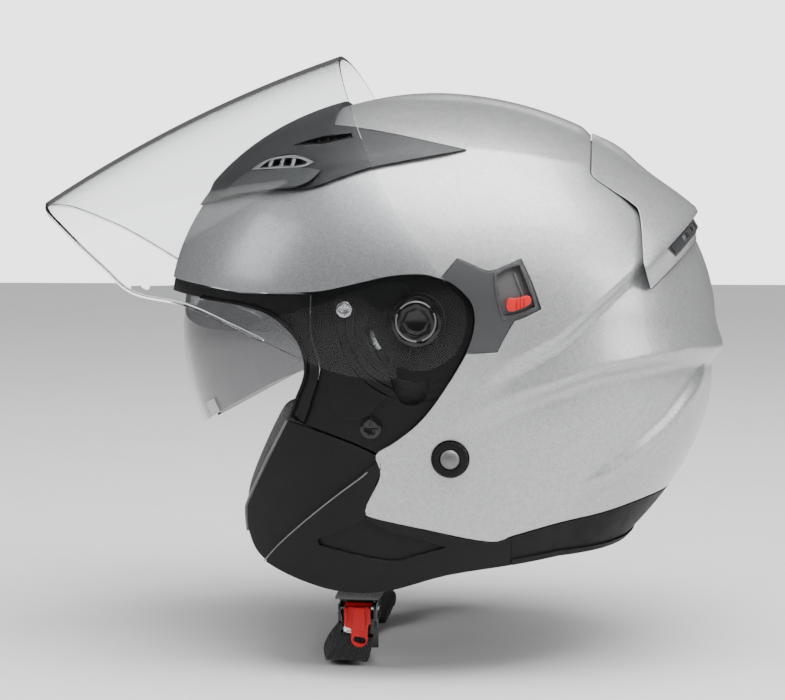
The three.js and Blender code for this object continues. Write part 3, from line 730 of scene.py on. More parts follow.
grille = combine(layer("exhaustGrille", -4.4, -2.8, 240, 150), sideCutter(crestStrip(3.4, 8.6, 16, 60)),
    "INTERSECT")
for x in (-52, -39, -26, -13, 0, 13, 26, 39, 52):
    cut = combine(boxCutter((x - 4.6, 100, 0), (x + 4.6, 160, 90)),
        sideCutter(crestStrip(4.7, 7.3, 16, 60)), "INTERSECT")
    combine(grille, cut)
smooth(grille)
finish(grille, greySatin, nodes=["exhaust_grille"])
print("spoiler")


# base plates under the visor ends, their screws and the pivot caps

plateOutline = curved([[-50, 12.6], [-45, 13.2], [-26, 17.2], [-10, 20.6], [-2, 21], [7, 20],
    [17.6, 15.6], [24.2, 8],
                       [25.6, 1], [24.8, -7], [20.4, -17.4], [8.9, -36.6], [-0.5, -47.6], [-11.2, -56.4],
                       [-19.5, -62],
                       [-31, -57], [-54, -49], [-51.5, -40], [-46, -23], [-50, -6]], (0, 14, 16), 4)
plate = layer("visorBasePlateLeft", 3.4, 6.6, 240, 150)
combine(plate, sideCutter(plateOutline, 60, 140), "INTERSECT")
raised = layer("raised", 2.5, 6.4, 240, 150)
combine(raised, sideCutter(curved([[-38, 10], [-30, 13], [-12, 18], [-4, 14], [-3, -12], [-8, -24],
    [-16, -36], [-26, -46],
                                   [-38, -44], [-42, -30], [-38, -10]], (), 4), 60, 140), "INTERSECT")
combine(plate, raised, "UNION")
combine(plate, crossBar(0, 0, 13, 112, 119.3), "UNION")
combine(plate, sideCutter(arc(0, 0, 21, 188, 236) + arc(0, 0, 25, 236, 188), 90, 140))
combine(plate, sideCutter(curved([[-12, -27], [0, -29], [6, -26], [2, -38], [-8, -38]], (), 5), 90, 140))
for radius in (29, 33, 37):  # rings the visor's end has rubbed into the plate
    ring = sideCutter(arc(0, 0, radius, 165, 290, 40) + arc(0, 0, radius + 0.8, 290, 165, 40), 90, 140)
    combine(ring, layer("skin", -4, 3.75, 96, 60), "INTERSECT")
    combine(plate, ring)
lug = layer("lug", 0.9, 4, 96, 60)
combine(lug, sideCutter(curved([[-28, -2], [-23.6, -2], [-22.6, 2], [-23.6, 6.4], [-27, 6.4], [-28.6, 2]],
    (), 4), 60, 140),
        "INTERSECT")
combine(plate, lug, "UNION")
combine(plate, crossBar(0, 0, 7.3, 100, 140))
combine(plate, crossBar(-34, 5, 2.4, 100, 140))
combine(plate, crossBar(-22, -50, 2.9, 100, 140))
smooth(plate)
finish(plate, blackPlastic, nodes=["visor_base_plate_left"])
finish(mirrorCopy(plate, "visorBasePlateRight"), blackPlastic,
    nodes=["visor_base_plate_right"])

capSize = {"radius": 9.2, "neck": 7, "face": 124.4, "thick": 2, "ringIn": 6.8, "ringOut": 8.4,
    "socket": 4.6}
pivotCap = crossBar(0, 0, capSize["radius"], capSize["face"] - capSize["thick"], capSize["face"], 96)
pivotCap.name = "visorPivotCapLeft"
combine(pivotCap, crossBar(0, 0, capSize["neck"], 112, 123), "UNION")
groove = crossBar(0, 0, capSize["ringIn"], capSize["face"] - 0.5, 130)
combine(groove, crossBar(0, 0, capSize["socket"] + 0.9, 100, 140))
combine(pivotCap, groove)
combine(pivotCap, crossBar(0, 0, capSize["socket"], capSize["face"] - 1.2, 130))
softEdges(pivotCap, 0.25)
smooth(pivotCap)
finish(pivotCap, glossBlack, nodes=["visor_pivot_cap_left"])
finish(mirrorCopy(pivotCap, "visorPivotCapRight"), glossBlack,
    nodes=["visor_pivot_cap_right"])


def crossScrew(name, y, z, radius, low, high):
    screw = crossBar(y, z, radius, low, high)
    screw.name = name
    for wide, tall in ((radius * 0.6, 0.5), (0.5, radius * 0.6)):
        combine(screw, boxCutter((high - 0.8, y - wide, z - tall), (high + 2, y + wide, z + tall)))
    softEdges(screw, 0.3)
    smooth(screw)
    return screw


for name, nodeName, y, z, radius, low, high, material, slot in (
        ("plateScrewUpper", "plate_screw_upper", -34, 5, 3.7, 109, 115.4, steel, "steel"),
        ("plateScrewLower", "plate_screw_lower", -22, -50, 5, 107.1, 113.3, glossBlack, "gloss_black")):
    screw = crossScrew(name + "Left", y, z, radius, low, high)
    finish(screw, material, nodes=[nodeName + "_left"])
    finish(mirrorCopy(screw, name + "Right"), material, nodes=[nodeName + "_right"])
clearSelection()
# a grey metal ring round the black cap's rim, standing in for the highlight on that edge: painted
# highlight
bpy.ops.mesh.primitive_torus_add(major_segments=120, minor_segments=12, major_radius=9.0 * mm,
    minor_radius=0.42 * mm,
                                 location=(124.1 * mm, 0, 0), rotation=(0, math.pi / 2, 0))
capHighlightRing = named("capHighlightRingLeft")
applyPlace(capHighlightRing)
for angle in (35, 150, 280):  # the ring is broken by its three claws
    y, z = 9 * math.cos(math.radians(angle)), 9 * math.sin(math.radians(angle))
    combine(capHighlightRing, boxCutter((120, y - 1.3, z - 1.3), (128, y + 1.3, z + 1.3)))
smooth(capHighlightRing)
finish(capHighlightRing, greyMetal)
finish(mirrorCopy(capHighlightRing, "capHighlightRingRight"), greyMetal)
print("base plates")


# eyeport gasket, a double lip

gasketOutline = curved([[-50.5, 11.9], [-50.5, -6], [-46.5, -23], [-51, -40], [-54.5, -49.3],
    [-61.5, -46.5],
                        [-58.5, -38], [-53.5, -24], [-57, -10], [-70, 1.5], [-86, 6], [-109, 9.5]],
                        (0, 4, 5), 5)
gasketOutline = gasketOutline[:5 * 11 + 1] + [[-128, 11.5], [-160, 12], [-160, 19.3], [-128, 17.3],
    [-109, 14.8],
                                              [-86, 11.8], [-64, 11.8]]
gasket = trimmed(layer("eyeportGasket", 1, 5, 240, 150), gasketOutline)
lipCut = [[y + 3.2, z + (1.8 if y < -60 else 0.4)] for y, z in gasketOutline[20:56]]
lipCut = lipCut + [[y + 1.3, z + (0.8 if y < -60 else 0.2)] for y, z in reversed(gasketOutline[20:56])]
combine(gasket, combine(sideCutter(lipCut), formSolid("deep", 2.4), "DIFFERENCE"))
smooth(gasket)
finish(gasket, rubber, nodes=["eyeport_gasket"])
print("gasket")


# clear visor: a barrel cut to its outline in the closed place, then lifted

visorSize = {"width": 119.9, "narrowing": 15, "bellyZ": -88, "belly": 144.3, "bend": 0.00073, "back": 300,
             "low": -172, "high": 60, "wall": 2, "travel": 63, "rimRadius": 1.0}


def visorBarrel(thick, around=240, rings=150):
    piece = ballOf("barrel", around, rings)
    v = visorSize
    ball = getPoints(piece)
    pole = np.abs(ball[:, 2]) > 0.99999
    turn = np.arctan2(ball[:, 1], ball[:, 0])
    share = (np.degrees(np.arcsin(ball[:, 2].clip(-1, 1))) + 90) / 180
    step = 1 / rings
    share = ((share - step) / (1 - 2 * step)).clip(0, 1)
    z = v["low"] + (v["high"] - v["low"]) * share
    width = v["width"] - v["narrowing"] * (np.maximum(0, -15 - z) / 105) ** 1.2
    front = v["belly"] - v["bend"] * (z - v["bellyZ"]) ** 2 + helmetForm["widestY"]
    across = signedPower(np.cos(turn), 2 / helmetForm["roundness"])
    along = signedPower(np.sin(turn), 2 / helmetForm["roundness"])
    reach = np.where(along < 0, front, v["back"])
    radial = np.where(pole, 0, 1)
    points = np.stack([radial * (width + thick) * across, helmetForm["widestY"] + radial * (reach + thick)
        * along, z], 1)
    setPoints(piece, points * mm)
    return piece


visorRim = [[-8, -56], [-35, -77.5], [-56, -95.5], [-73, -117], [-92, -127], [-119, -141], [-134, -150]]
visorOutline = curved([[-110, 15], [-84, 13.5], [-56, 13], [-32, 16], [-8, 20]]
    + arc(0, 0, 23, 90, -50, 7)
                      + [[19, -23], [6, -43]] + visorRim, (0, 21), 5)
visorOutline = visorOutline[:5 * 21 + 1] + [[-160, -163], [-160, 16.5], [-128, 16]]
clearVisor = combine(visorBarrel(visorSize["wall"]), visorBarrel(0, 96, 60))
trimmed(clearVisor, visorOutline)
combine(clearVisor, crossBar(0, 0, 7.5, -140, 140))
lift = Matrix.Rotation(-math.radians(visorSize["travel"]), 4, "X")
clearVisor.data.transform(lift)
smooth(clearVisor)
clearVisor.name = "clearVisor"
finish(clearVisor, clearLens, "visor", ["clear_visor"])
rimPath = []  # the free edge is rolled, from one end round the front to the other
for y, z in curved(visorRim + [[-160, -163]], (0, 7), 8)[:57]:
    front = visorSize["belly"] - visorSize["bend"] * (z
        - visorSize["bellyZ"]) ** 2 + helmetForm["widestY"]
    width = visorSize["width"] - visorSize["narrowing"] * (max(0, -15 - z) / 105) ** 1.2
    reach = abs(y - helmetForm["widestY"]) / (front + 1)
    if reach < 0.9995 and y < -22:
        side = (1 - reach ** helmetForm["roundness"]) ** (1 / helmetForm["roundness"])
        rimPath.append([(width + 1) * side, y, z])
lastY, lastZ = rimPath[-1][1:]
rimPath += [[rimPath[-1][0] * share, lastY - 1.2 * (1 - share ** 2), lastZ - 0.8 * (1 - share ** 2)]
            for share in (0.8, 0.55, 0.28)]
rimPath += [[0, lastY - 1.2, lastZ - 0.8]] + [[-x, y, z] for x, y, z in reversed(rimPath)]
visorRimRoll = seam("visorRimRoll", rimPath, visorSize["rimRadius"], clearLens)
visorRimRoll.data.transform(lift)
finish(visorRimRoll, clearLens, "visor")
for side, word in ((1, "Left"), (-1, "Right")):  # dark bearing ring moulded into each end
    ring = combine(crossBar(0, 0, 11.5, visorSize["width"] + 0.15, visorSize["width"] + 2.3, 96),
                   crossBar(0, 0, 9.4, 100, 140, 96))
    setPoints(ring, getPoints(ring) * (side, 1, 1))
    bpy.ops.object.mode_set(mode="EDIT")
    bpy.ops.mesh.normals_make_consistent(inside=False)
    bpy.ops.object.mode_set(mode="OBJECT")
    ring.name = "visorBearing" + word
    softEdges(ring, 0.3)
    smooth(ring)
    finish(ring, glossBlack, "visor")
print("clear visor")


# sun visor: a lens turned about its own pin axis

lensSize = {"y": -20, "z": -9, "reach": 110.5, "halfWide": 105.5, "wall": 2, "pin": 3}


def turnedLens(halfWide, reach, around=240, rings=150):
    piece = ballOf("lens", around, rings)
    ball = getPoints(piece)
    turn = np.arctan2(ball[:, 1], ball[:, 0])
    lean = np.arcsin(ball[:, 2].clip(-1, 1))
    power = 2 / helmetForm["roundness"]
    out = reach * np.abs(np.cos(lean)) ** power
    setPoints(piece, np.stack([halfWide * signedPower(np.sin(lean), power),
        lensSize["y"] + out * np.cos(turn),
                               lensSize["z"] + out * np.sin(turn)], 1) * mm)
    return piece


sunVisorOutline = curved(arc(lensSize["y"], lensSize["z"], 9, 90, -90, 8) + [
    [-45, -22], [-64, -27.5], [-79, -35], [-95, -43.5], [-110, -52], [-124, -60]], (0, 14),
    4)[:4 * 14 + 1]
sunVisorOutline += [[-145, -60], [-145, 12], [-110, 13], [-80, 8], [-50, 2]]
noseArch = [[-14, -150], [14, -150], [14, -74], [9, -62], [0, -58], [-9, -62], [-14, -74]]
sunVisor = combine(turnedLens(lensSize["halfWide"], lensSize["reach"]),
                   turnedLens(lensSize["halfWide"] - lensSize["wall"],
                   lensSize["reach"] - lensSize["wall"], 96, 60))
trimmed(sunVisor, sunVisorOutline)
combine(sunVisor, planCutter(curved(noseArch, (0, 1), 4), -70, -48))
combine(sunVisor, crossBar(lensSize["y"], lensSize["z"], lensSize["pin"] + 0.4, -130, 130))
smooth(sunVisor)
sunVisor.name = "sunVisor"
finish(sunVisor, smokeLens, "inner_visor", ["sun_visor"])
for side, word in ((1, "left"), (-1, "right")):
    pin = combine(crossBar(lensSize["y"], lensSize["z"], lensSize["pin"], 94, 106.2, 48),
                  crossBar(lensSize["y"], lensSize["z"], 5, 106, 108, 48), "UNION")
    softEdges(pin, 0.3)
    smooth(pin)
    pin.name = "sunVisorPinLeft"
    finish(pin if side > 0 else mirrorCopy(pin, "sunVisorPinRight"), steel,
           nodes=["sun_visor_pin_" + word])
    if side < 0:
        bpy.data.objects.remove(pin)
print("sun visor")


# side covers, the slider and its slot

slotOutline = curved([[36, 21], [41, 24], [46.4, 25.6], [50, 17], [54, 6.4], [46, 3.6], [39.6, 2.2],
    [37.5, 12]],
                     (0, 2, 4, 6), 4)
coverPlate = layer("coverPlate", -0.7, 2.3, 240, 150)
combine(coverPlate, sideCutter(grown(coverOutline, 0.1), 60, 140), "INTERSECT")
coverRight = mirrorCopy(coverPlate, "sideCoverRight")
smooth(coverRight)
finish(coverRight, greySatin, nodes=["side_cover_right"])
combine(coverPlate, sideCutter(slotOutline, 60, 140))
frameRing = combine(layer("frameRing", -1.3, 1, 240, 150), sideCutter(grown(slotOutline, 1.4), 60, 140),
    "INTERSECT")
combine(frameRing, sideCutter(slotOutline, 60, 140))
combine(coverPlate, frameRing, "UNION")
smooth(coverPlate)
coverPlate.name = "sliderCoverLeft"
finish(coverPlate, greySatin, nodes=["slider_cover_left"])

slotFloor = combine(layer("sliderSlotFloor", 2.3, 2.75, 96, 60),
    sideCutter(grown(slotOutline, 2), 60, 140), "INTERSECT")
guide = combine(layer("guide", 1.4, 2.5, 96, 60),
    sideCutter([[43.6, 22], [44.6, 22.6], [50, 8.8], [49, 8.4]], 60, 140),
                "INTERSECT")
combine(slotFloor, guide, "UNION")
smooth(slotFloor)
finish(slotFloor, greyMetal)

slider = combine(layer("sunVisorSlider", -3.4, 2, 240, 150), sideCutter(curved(
    [[41, 6], [44, 4.6], [51.6, 8], [50.8, 11.6], [45, 10.4], [41.6, 10.4]], (), 5), 60, 140),
    "INTERSECT")
for shift in (0, 1.6, 3.2):
    rib = combine(layer("rib", -5, -2.9, 96, 60), sideCutter(
        [[45 + shift, 3], [45.7 + shift, 3], [45.7 + shift, 14], [45 + shift, 14]], 60, 140), "INTERSECT")
    combine(slider, rib)
softEdges(slider, 0.4)
smooth(slider)
finish(slider, redPlastic, "slider", ["sun_visor_slider"])
print("slider")


# cheek skirts, rear trim

skirtPath = [[42.5, -101.8], [33, -104.1], [5, -98.4], [-21.4, -92.8], [-24.6, -90], [-23.6, -85.6],
    [-17.2, -69],
             [-19.8, -63.2], [-31, -58], [-54.5, -50], [-62, -47.6], [-71, -64.5], [-83, -87.5],
             [-84.5, -93.5],
             [-84, -103.5], [-79, -113.5], [-68, -120], [-52, -125.5], [-36, -128.5], [-15, -127.5],
             [13, -119.5],
             [42.5, -115.5]]
skirtOutline = curved(skirtPath, (0, 7, 9, 10, 21), 4)
seatOutline = curved([[-13, -61], [-25, -71], [-36.4, -80.3], [-47, -89], [-57.4, -98], [-67, -107],
    [-74.6, -116],
                      [-80, -130]], (0, 7), 4)[:29] + [[-110, -130], [-110, -40], [-40, -40]]
scoopOutline = curved([[-25, -92.5], [-36, -98.4], [-47, -103], [-47.6, -105.6], [-44, -107.5],
    [-14.5, -113],
                       [0, -109.8], [13, -106], [-2, -101.4], [-14, -98.4]], (0, 7), 4)
skirt = layer("cheekSkirtLeft", 0, 5, 240, 150)
combine(skirt, sideCutter(skirtOutline, 60, 140), "INTERSECT")
combine(skirt, combine(layer("seat", -5, 2.6), sideCutter(seatOutline, 40, 160), "INTERSECT"))
combine(skirt, combine(layer("scoop", -5, 1.7), sideCutter(scoopOutline, 40, 160), "INTERSECT"))
smooth(skirt)
finish(skirt, blackPlastic, nodes=["cheek_skirt_left"])
finish(mirrorCopy(skirt, "cheekSkirtRight"), blackPlastic,
    nodes=["cheek_skirt_right"])

def onForm(y, z, inset):  # the form's point on the wearer's left at this height
    f = helmetForm
    below = max(0, -z)
    length = f["frontLength"] - 14 * below / 130 if y < f["widestY"] else f["rearLength"]
    width = f["halfWidth"] - 12 * (below / 130) ** 1.5
    reach = min(0.999, abs(y - f["widestY"]) / (length - inset))
    return [(width - inset) * (1 - reach ** f["roundness"]) ** (1 / f["roundness"]), y, z]


# a thin grey metal tube along the seat's edge, standing in for the highlight on that edge: painted
# highlight
skirtHighlightTube = seam("skirtEdgeHighlightLeft", [onForm(y, z, 0.1) for y, z in curved(
    [[-23.6, -70.6], [-27, -73.6], [-37.4, -81.4], [-48.2, -90.1], [-58.6, -99], [-68.2, -108],
    [-75.6, -116.2]],
    (0, 6), 6)[:37]], 0.35, greyMetal)
finish(skirtHighlightTube, greyMetal)
finish(mirrorCopy(skirtHighlightTube, "skirtEdgeHighlightRight"), greyMetal)
piping = seam("cheekPipingLeft", [onForm(y, z, 3.4) for y, z in curved(
    [[-62.6, -48], [-71.8, -64.5], [-83.6, -87], [-85.4, -93.5], [-84.8, -103]], (0, 4), 6)[:25]], 0.9,
    pipingCloth)
finish(piping, pipingCloth)
finish(mirrorCopy(piping, "cheekPipingRight"), pipingCloth)

trimOutline = curved([[42.6, -101.8], [65, -96.3], [86, -92.8], [107, -88.2], [124, -86], [190, -86],
    [190, -110],
                      [112, -111.6], [86, -112.6], [65, -112.6], [42.6, -115.4]], (0, 4, 5, 6, 10), 4)
rearTrim = trimmed(layer("rearRimTrim", 0.3, 5.2, 240, 150), trimOutline)
beadPath = [[43, -115.4], [65, -112.6], [86, -112.6], [112, -111.6], [190, -110]]
beadOutline = [[y, z] for y, z in beadPath] + [[y, z + 2.6] for y, z in reversed(beadPath)]
bead = combine(layer("bead", -0.7, 5.2, 240, 150), sideCutter(beadOutline), "INTERSECT")
combine(rearTrim, bead, "UNION")
smooth(rearTrim)
finish(rearTrim, rubber, nodes=["rear_rim_trim"])
print("skirts and trim")


# forehead vent panel with its two vents a side

def panelSwell(at):  # raised upper field over a fold that runs back to the panel's point
    fold = np.interp(at[:, 1], [-110, -85, -60, -40, -10, 20], [64, 67, 69, 70.5, 76, 79])
    return 1.4 * smoothStep(at[:, 2] - fold, -3.5, 0.8) * smoothStep(-at[:, 1], -16, 12)


ventPanel = combine(formSolid("foreheadVentPanel", -1.4, 240, 150, panelSwell),
    formSolid("core", 1.2, 96, 60))
trimmed(ventPanel, panelOutline)
for room in ventPockets(2.2):
    combine(ventPanel, room)
smooth(ventPanel)
finish(ventPanel, panelGrey, nodes=["forehead_vent_panel"])

lowWindow = curved([[-80.5, 71.4], [-76, 74.6], [-69.5, 75.9], [-61.5, 75.9], [-55.4, 73.6], [-59, 72.2],
    [-69, 72]],
                   (0,), 5)
lowVent = combine(layer("lowVentGrilleLeft", -3.4, -1, 240, 150), sideCutter(lowVentOutline, 20, 110),
    "INTERSECT")
combine(lowVent, combine(sideCutter(lowWindow, 0, 200), formSolid("back", 1.6), "DIFFERENCE"))
for y in (-76.2, -70.2, -64.2):
    rib = combine(layer("rib", -3, -1, 240, 150),
        sideCutter([[y, 71], [y + 1.8, 71], [y + 3.2, 77], [y + 1.4, 77]],
                                                               20, 110), "INTERSECT")
    combine(rib, sideCutter(lowVentOutline, 20, 110), "INTERSECT")
    combine(lowVent, rib, "UNION")
smooth(lowVent)
finish(lowVent, silverPaint, nodes=["low_vent_grille_left"])
finish(mirrorCopy(lowVent, "lowVentGrilleRight"), silverPaint,
    nodes=["low_vent_grille_right"])

scoopPlate = combine(layer("scoopPlateLeft", -3.3, -1, 240, 150), sideCutter(curved(
    [[-100, 57.4], [-94, 64.5], [-85.6, 70.2], [-69, 70.6], [-57, 71], [-48, 69.6], [-53, 64.6],
    [-60, 61.6], [-71, 61],
     [-88, 59.2]], (0, 2, 5, 7), 4), 20, 110), "INTERSECT")
smooth(scoopPlate)
finish(scoopPlate, scoopGrey)
finish(mirrorCopy(scoopPlate, "scoopPlateRight"), scoopGrey)

shutter = combine(layer("lowVentShutterLeft", 0.2, 1.7, 240, 150), sideCutter(curved(
    [[-78, 72.2], [-70, 73.2], [-65, 73.4], [-65, 75], [-70, 75], [-75, 74]], (), 4), 20, 110),
    "INTERSECT")
smooth(shutter)
finish(shutter, blackPlastic, "shutter_left", ["low_vent_shutter_left"])
finish(mirrorCopy(shutter, "lowVentShutterRight"), blackPlastic, "shutter_right",
       ["low_vent_shutter_right"])

highVent = combine(layer("highVentGrilleLeft", -1.8, 1.8, 240, 150), sideCutter(highVentOutline, 20, 110),
    "INTERSECT")
slotCut = combine(sideCutter(curved([[-62, 83.2], [-52, 85.2], [-39, 86.9], [-38, 86], [-51, 83.8]], (),
    4), 0, 200),
                  formSolid("back", 0.8), "DIFFERENCE")
for y in (-60, -56, -52, -48, -44):
    combine(slotCut, boxCutter((0, y, 78), (200, y + 1.3, 98)))
combine(highVent, slotCut)
smooth(highVent)
finish(highVent, blackPlastic, nodes=["high_vent_grille_left"])
finish(mirrorCopy(highVent, "highVentGrilleRight"), blackPlastic,
       nodes=["high_vent_grille_right"])
print("vents")


# strap anchors

anchorSize = {"y": 15, "z": -64, "radius": 8.3, "low": 110.4, "face": 115.8, "dome": 4.6}
a = anchorSize
anchorRing = combine(crossBar(a["y"], a["z"], a["radius"], a["low"], a["face"], 96),
                     crossBar(a["y"], a["z"], 5, 100, 140))
for i in range(20):
    angle = math.tau * i / 20
    combine(anchorRing, crossBar(a["y"] + 8.6 * math.cos(angle), a["z"] + 8.6 * math.sin(angle), 0.75,
        113, 130, 12))
softEdges(anchorRing, 0.3)
smooth(anchorRing)
anchorRing.name = "anchorRingLeft"
finish(anchorRing, blackPlastic, nodes=["anchor_ring_left"])
finish(mirrorCopy(anchorRing, "anchorRingRight"), blackPlastic,
    nodes=["anchor_ring_right"])
rivet = crossBar(a["y"], a["z"], a["dome"], 104.2, 115.4, 64)
clearSelection()
bpy.ops.mesh.primitive_uv_sphere_add(segments=64, ring_count=32, radius=a["dome"] * mm,
                                     location=(115.2 * mm, a["y"] * mm, a["z"] * mm), scale=(0.4, 1, 1))
dome = named("dome")
applyPlace(dome)
combine(rivet, dome, "UNION")
smooth(rivet)
rivet.name = "anchorRivetLeft"
finish(rivet, greyMetal, nodes=["anchor_rivet_left"])
finish(mirrorCopy(rivet, "anchorRivetRight"), greyMetal, nodes=["anchor_rivet_right"])
print("anchors")


# chin strap: flat webbing bands along their route

def alongRoute(stations, count):
    nodes = np.array(stations, dtype=float)
    padded = np.vstack([2 * nodes[0] - nodes[1], nodes, 2 * nodes[-1] - nodes[-2]])
    points = []
    for i in range(1, len(padded) - 2):
        a, b, c, d = padded[i - 1:i + 3]
        for t in np.linspace(0, 1, 24, endpoint=False):
            points.append(0.5 * (2 * b + (c - a) * t + (2 * a - 5 * b + 4 * c - d) * t * t
                                 + (3 * b - a - 3 * c + d) * t ** 3))
    points.append(nodes[-1])
    points = np.array(points)
    run = np.concatenate([[0], np.cumsum(np.linalg.norm(np.diff(points, axis=0), axis=1))])
    steps = np.linspace(0, run[-1], count)
    return np.stack([np.interp(steps, run, points[:, k]) for k in range(3)], 1), run[-1]


def band(name, stations, wide, thick, count=160):
    route, length = alongRoute(stations, count)
    clearSelection()
    bpy.ops.mesh.primitive_grid_add(x_subdivisions=count - 1, y_subdivisions=8, size=1)
    piece = named(name)
    grid = getPoints(piece)
    index = np.clip(np.round((grid[:, 0] + 0.5) * (count - 1)).astype(int), 0, count - 1)
    tangent = np.gradient(route, axis=0)
    tangent /= np.linalg.norm(tangent, axis=1, keepdims=True)
    across = np.array([0, 1, 0]) - tangent * tangent[:, 1:2]
    across /= np.linalg.norm(across, axis=1, keepdims=True)
    setPoints(piece, (route[index] + across[index] * (grid[:, 1:2] * wide)) * mm)
    uv = np.empty(len(piece.data.loops) * 2)
    piece.data.uv_layers.active.data.foreach_get("uv", uv)
    uv = uv.reshape(-1, 2) * (length * mm, wide * mm)
    piece.data.uv_layers.active.data.foreach_set("uv", uv.ravel())
    applyModifier(piece, "SOLIDIFY", thickness=thick * mm, offset=0)
    applyModifier(piece, "BEVEL", width=0.4 * mm, segments=2, limit_method="ANGLE",
        angle_limit=math.radians(50))
    smooth(piece, 50)
    return piece


strapDrop = [[107.4, 15, -54], [106.5, 12, -68], [104.4, 2, -86], [101.4, -11, -104], [98.8, -23, -120],
             [93.2, -29.6, -131]]
buckle = {"x": 70, "y": -33, "pinZ": -142.5}
strapLeft = band("chinStrapLeft", strapDrop + [[84, -32.6, -135.2], [73, -33, -135.2], [66.5, -33, -137],
                                          [64.7, -33, -141.5], [64.7, -33, -149]], 20, 1.6)
combine(strapLeft, crossBar(15, -64, 4.9, 95, 115))
finish(strapLeft, webbing, nodes=["chin_strap_left"])
rightDrop = [[-x, y, z] for x, y, z in reversed(strapDrop)]
strapRight = band("chinStrapRight", [[70.2, -36, -156], [70.2, -37, -163], [66, -39.5, -168.8],
    [54, -42, -170], [28, -46, -171], [0, -47, -171],
                                     [-36, -43, -166], [-66, -37, -152]] + rightDrop, 20, 1.6, 260)
combine(strapRight, crossBar(15, -64, 4.9, -115, -95))
finish(strapRight, webbing, nodes=["chin_strap_right"])
print("straps")


# buckle: frame, toothed tongue, pin and the red pull lever

def rounded(low, high, soft=0.35):
    block = boxCutter(low, high)
    softEdges(block, soft, 3)
    return block


bx, by, bz = buckle["x"], buckle["y"], buckle["pinZ"]


def yBar(radius, low, high, x=bx, z=bz, sides=40):
    clearSelection()
    bpy.ops.mesh.primitive_cylinder_add(vertices=sides, radius=radius * mm, depth=(high - low) * mm,
                                        location=(x * mm, (low + high) / 2 * mm, z * mm),
                                        rotation=(math.pi / 2, 0, 0))
    bar = named("yBar")
    applyPlace(bar)
    return bar


buckleFrame = rounded((bx - 4.3, by - 9.4, -163), (bx - 2.9, by + 9.4, -139))
for side in (-1, 1):
    low, high = sorted((by + side * 9.4, by + side * 8))
    flange = rounded((bx - 4.2, low, -153), (bx + 5.7, high, -140))
    combine(flange, yBar(5.2, low - 1, high + 1, bx + 6.4, -153.4))
    combine(buckleFrame, flange, "UNION")
combine(buckleFrame, yBar(1.7, by - 20, by + 20))
buckleFrame.name = "buckleFrame"
smooth(buckleFrame)
finish(buckleFrame, glossBlack, nodes=["buckle_frame"])

bucklePin = yBar(1.4, by - 10, by + 10)
softEdges(bucklePin, 0.3)
smooth(bucklePin)
bucklePin.name = "bucklePin"
finish(bucklePin, steel, nodes=["buckle_pin"])

leverOutline = [[by - 5, bz + 1], [by + 6.4, bz + 1], [by + 5.6, -149], [by + 4.9, -152.6]] + \
    arc(by + 0.8, -157.4, 4.1, 12, -192, 16) + [[by - 3.4, -152.4], [by - 6.4, -151.6], [by - 6.2, -149]]
lever = sideCutter(leverOutline, bx + 2.4, bx + 4.2)
softEdges(lever, 0.5, 3, 50)
channel = sideCutter([[by - 2.2, bz + 1], [by + 3.6, bz + 1], [by + 3.9, -153], [by - 2.6, -153]],
    bx + 3.6, bx + 5.4)
softEdges(channel, 0.7, 3, 50)
combine(lever, channel, "UNION")
combine(lever, yBar(2.6, by - 6.4, by + 6.4), "UNION")
combine(lever, rounded((bx + 0.2, by - 6.4, bz - 3), (bx + 3.8, by + 6.4, bz + 0.6)), "UNION")
for side in (-1, 1):
    low, high = sorted((by + side * 6.4, by + side * 5.2))
    combine(lever, rounded((bx + 2.4, low, -150), (bx + 5.6, high, bz + 0.6), 0.4), "UNION")
combine(lever, sideCutter(curved([[by - 1.6, -158.8], [by + 3.2, -159.6], [by + 3.6, -157],
    [by - 1.4, -156.2]], (), 6),
                          60, 90))
combine(lever, yBar(1.7, by - 20, by + 20))
lever.name = "buckleLever"
smooth(lever)
finish(lever, redPlastic, "quick_release", ["buckle_lever"])

tongue = rounded((bx - 2.4, by - 7.6, -161), (bx - 1.4, by + 3, -146.1), 0.25)
for i in range(6):
    tooth = boxCutter((bx - 1.7, by - 6.1, -148.5 - 2.4 * i), (bx - 0.7, by + 2.9, -147.4 - 2.4 * i))
    combine(tongue, tooth, "UNION")
tongue.name = "ratchetTongue"
smooth(tongue)
finish(tongue, steel, nodes=["ratchet_tongue"])
print("buckle")


# impact liner

linerOutline = curved([[-86, 20], [-45, 19], [-20, 8], [-22, -10], [-20, -30], [-4, -52], [20, -70]],
    (0, 6), 4)[:25]
linerOutline += [[200, -70], [200, 200], [-160, 200], [-160, 25], [-128, 23]]
liner = trimmed(layer("impactLiner", 4.6, 27, 240, 150), linerOutline)
roomOutline = [[-62, 22], [32, 26], [32, -30], [8, -60], [-62, -60]]
combine(liner, combine(layer("room", -10, 9.5), sideCutter(roomOutline), "INTERSECT"))
slotSolid = combine(turnedLens(106.7, 111.7), turnedLens(102.3, 107.3))
combine(slotSolid, sideCutter([[0, -24], [-30, -36], [-150, -36], [-150, 110], [-20, 110], [0, 14]]),
    "INTERSECT")
combine(liner, slotSolid)
combine(liner, crossBar(15, -64, 8.8, -140, 140))
combine(liner, crossBar(-20, -9, 6, -112, 112))
combine(liner, combine(layer("room", 0, 9), sideCutter([[-2, -44], [30, -44], [30, -80], [-2, -80]]),
    "INTERSECT"))
smooth(liner)
finish(liner, foam, nodes=["impact_liner"])
print("liner")


# padded pieces: a copy of the part's pad, swollen by cloth pressure

padding = {"voxel": 4.5, "pressure": 4.0, "frames": 20}


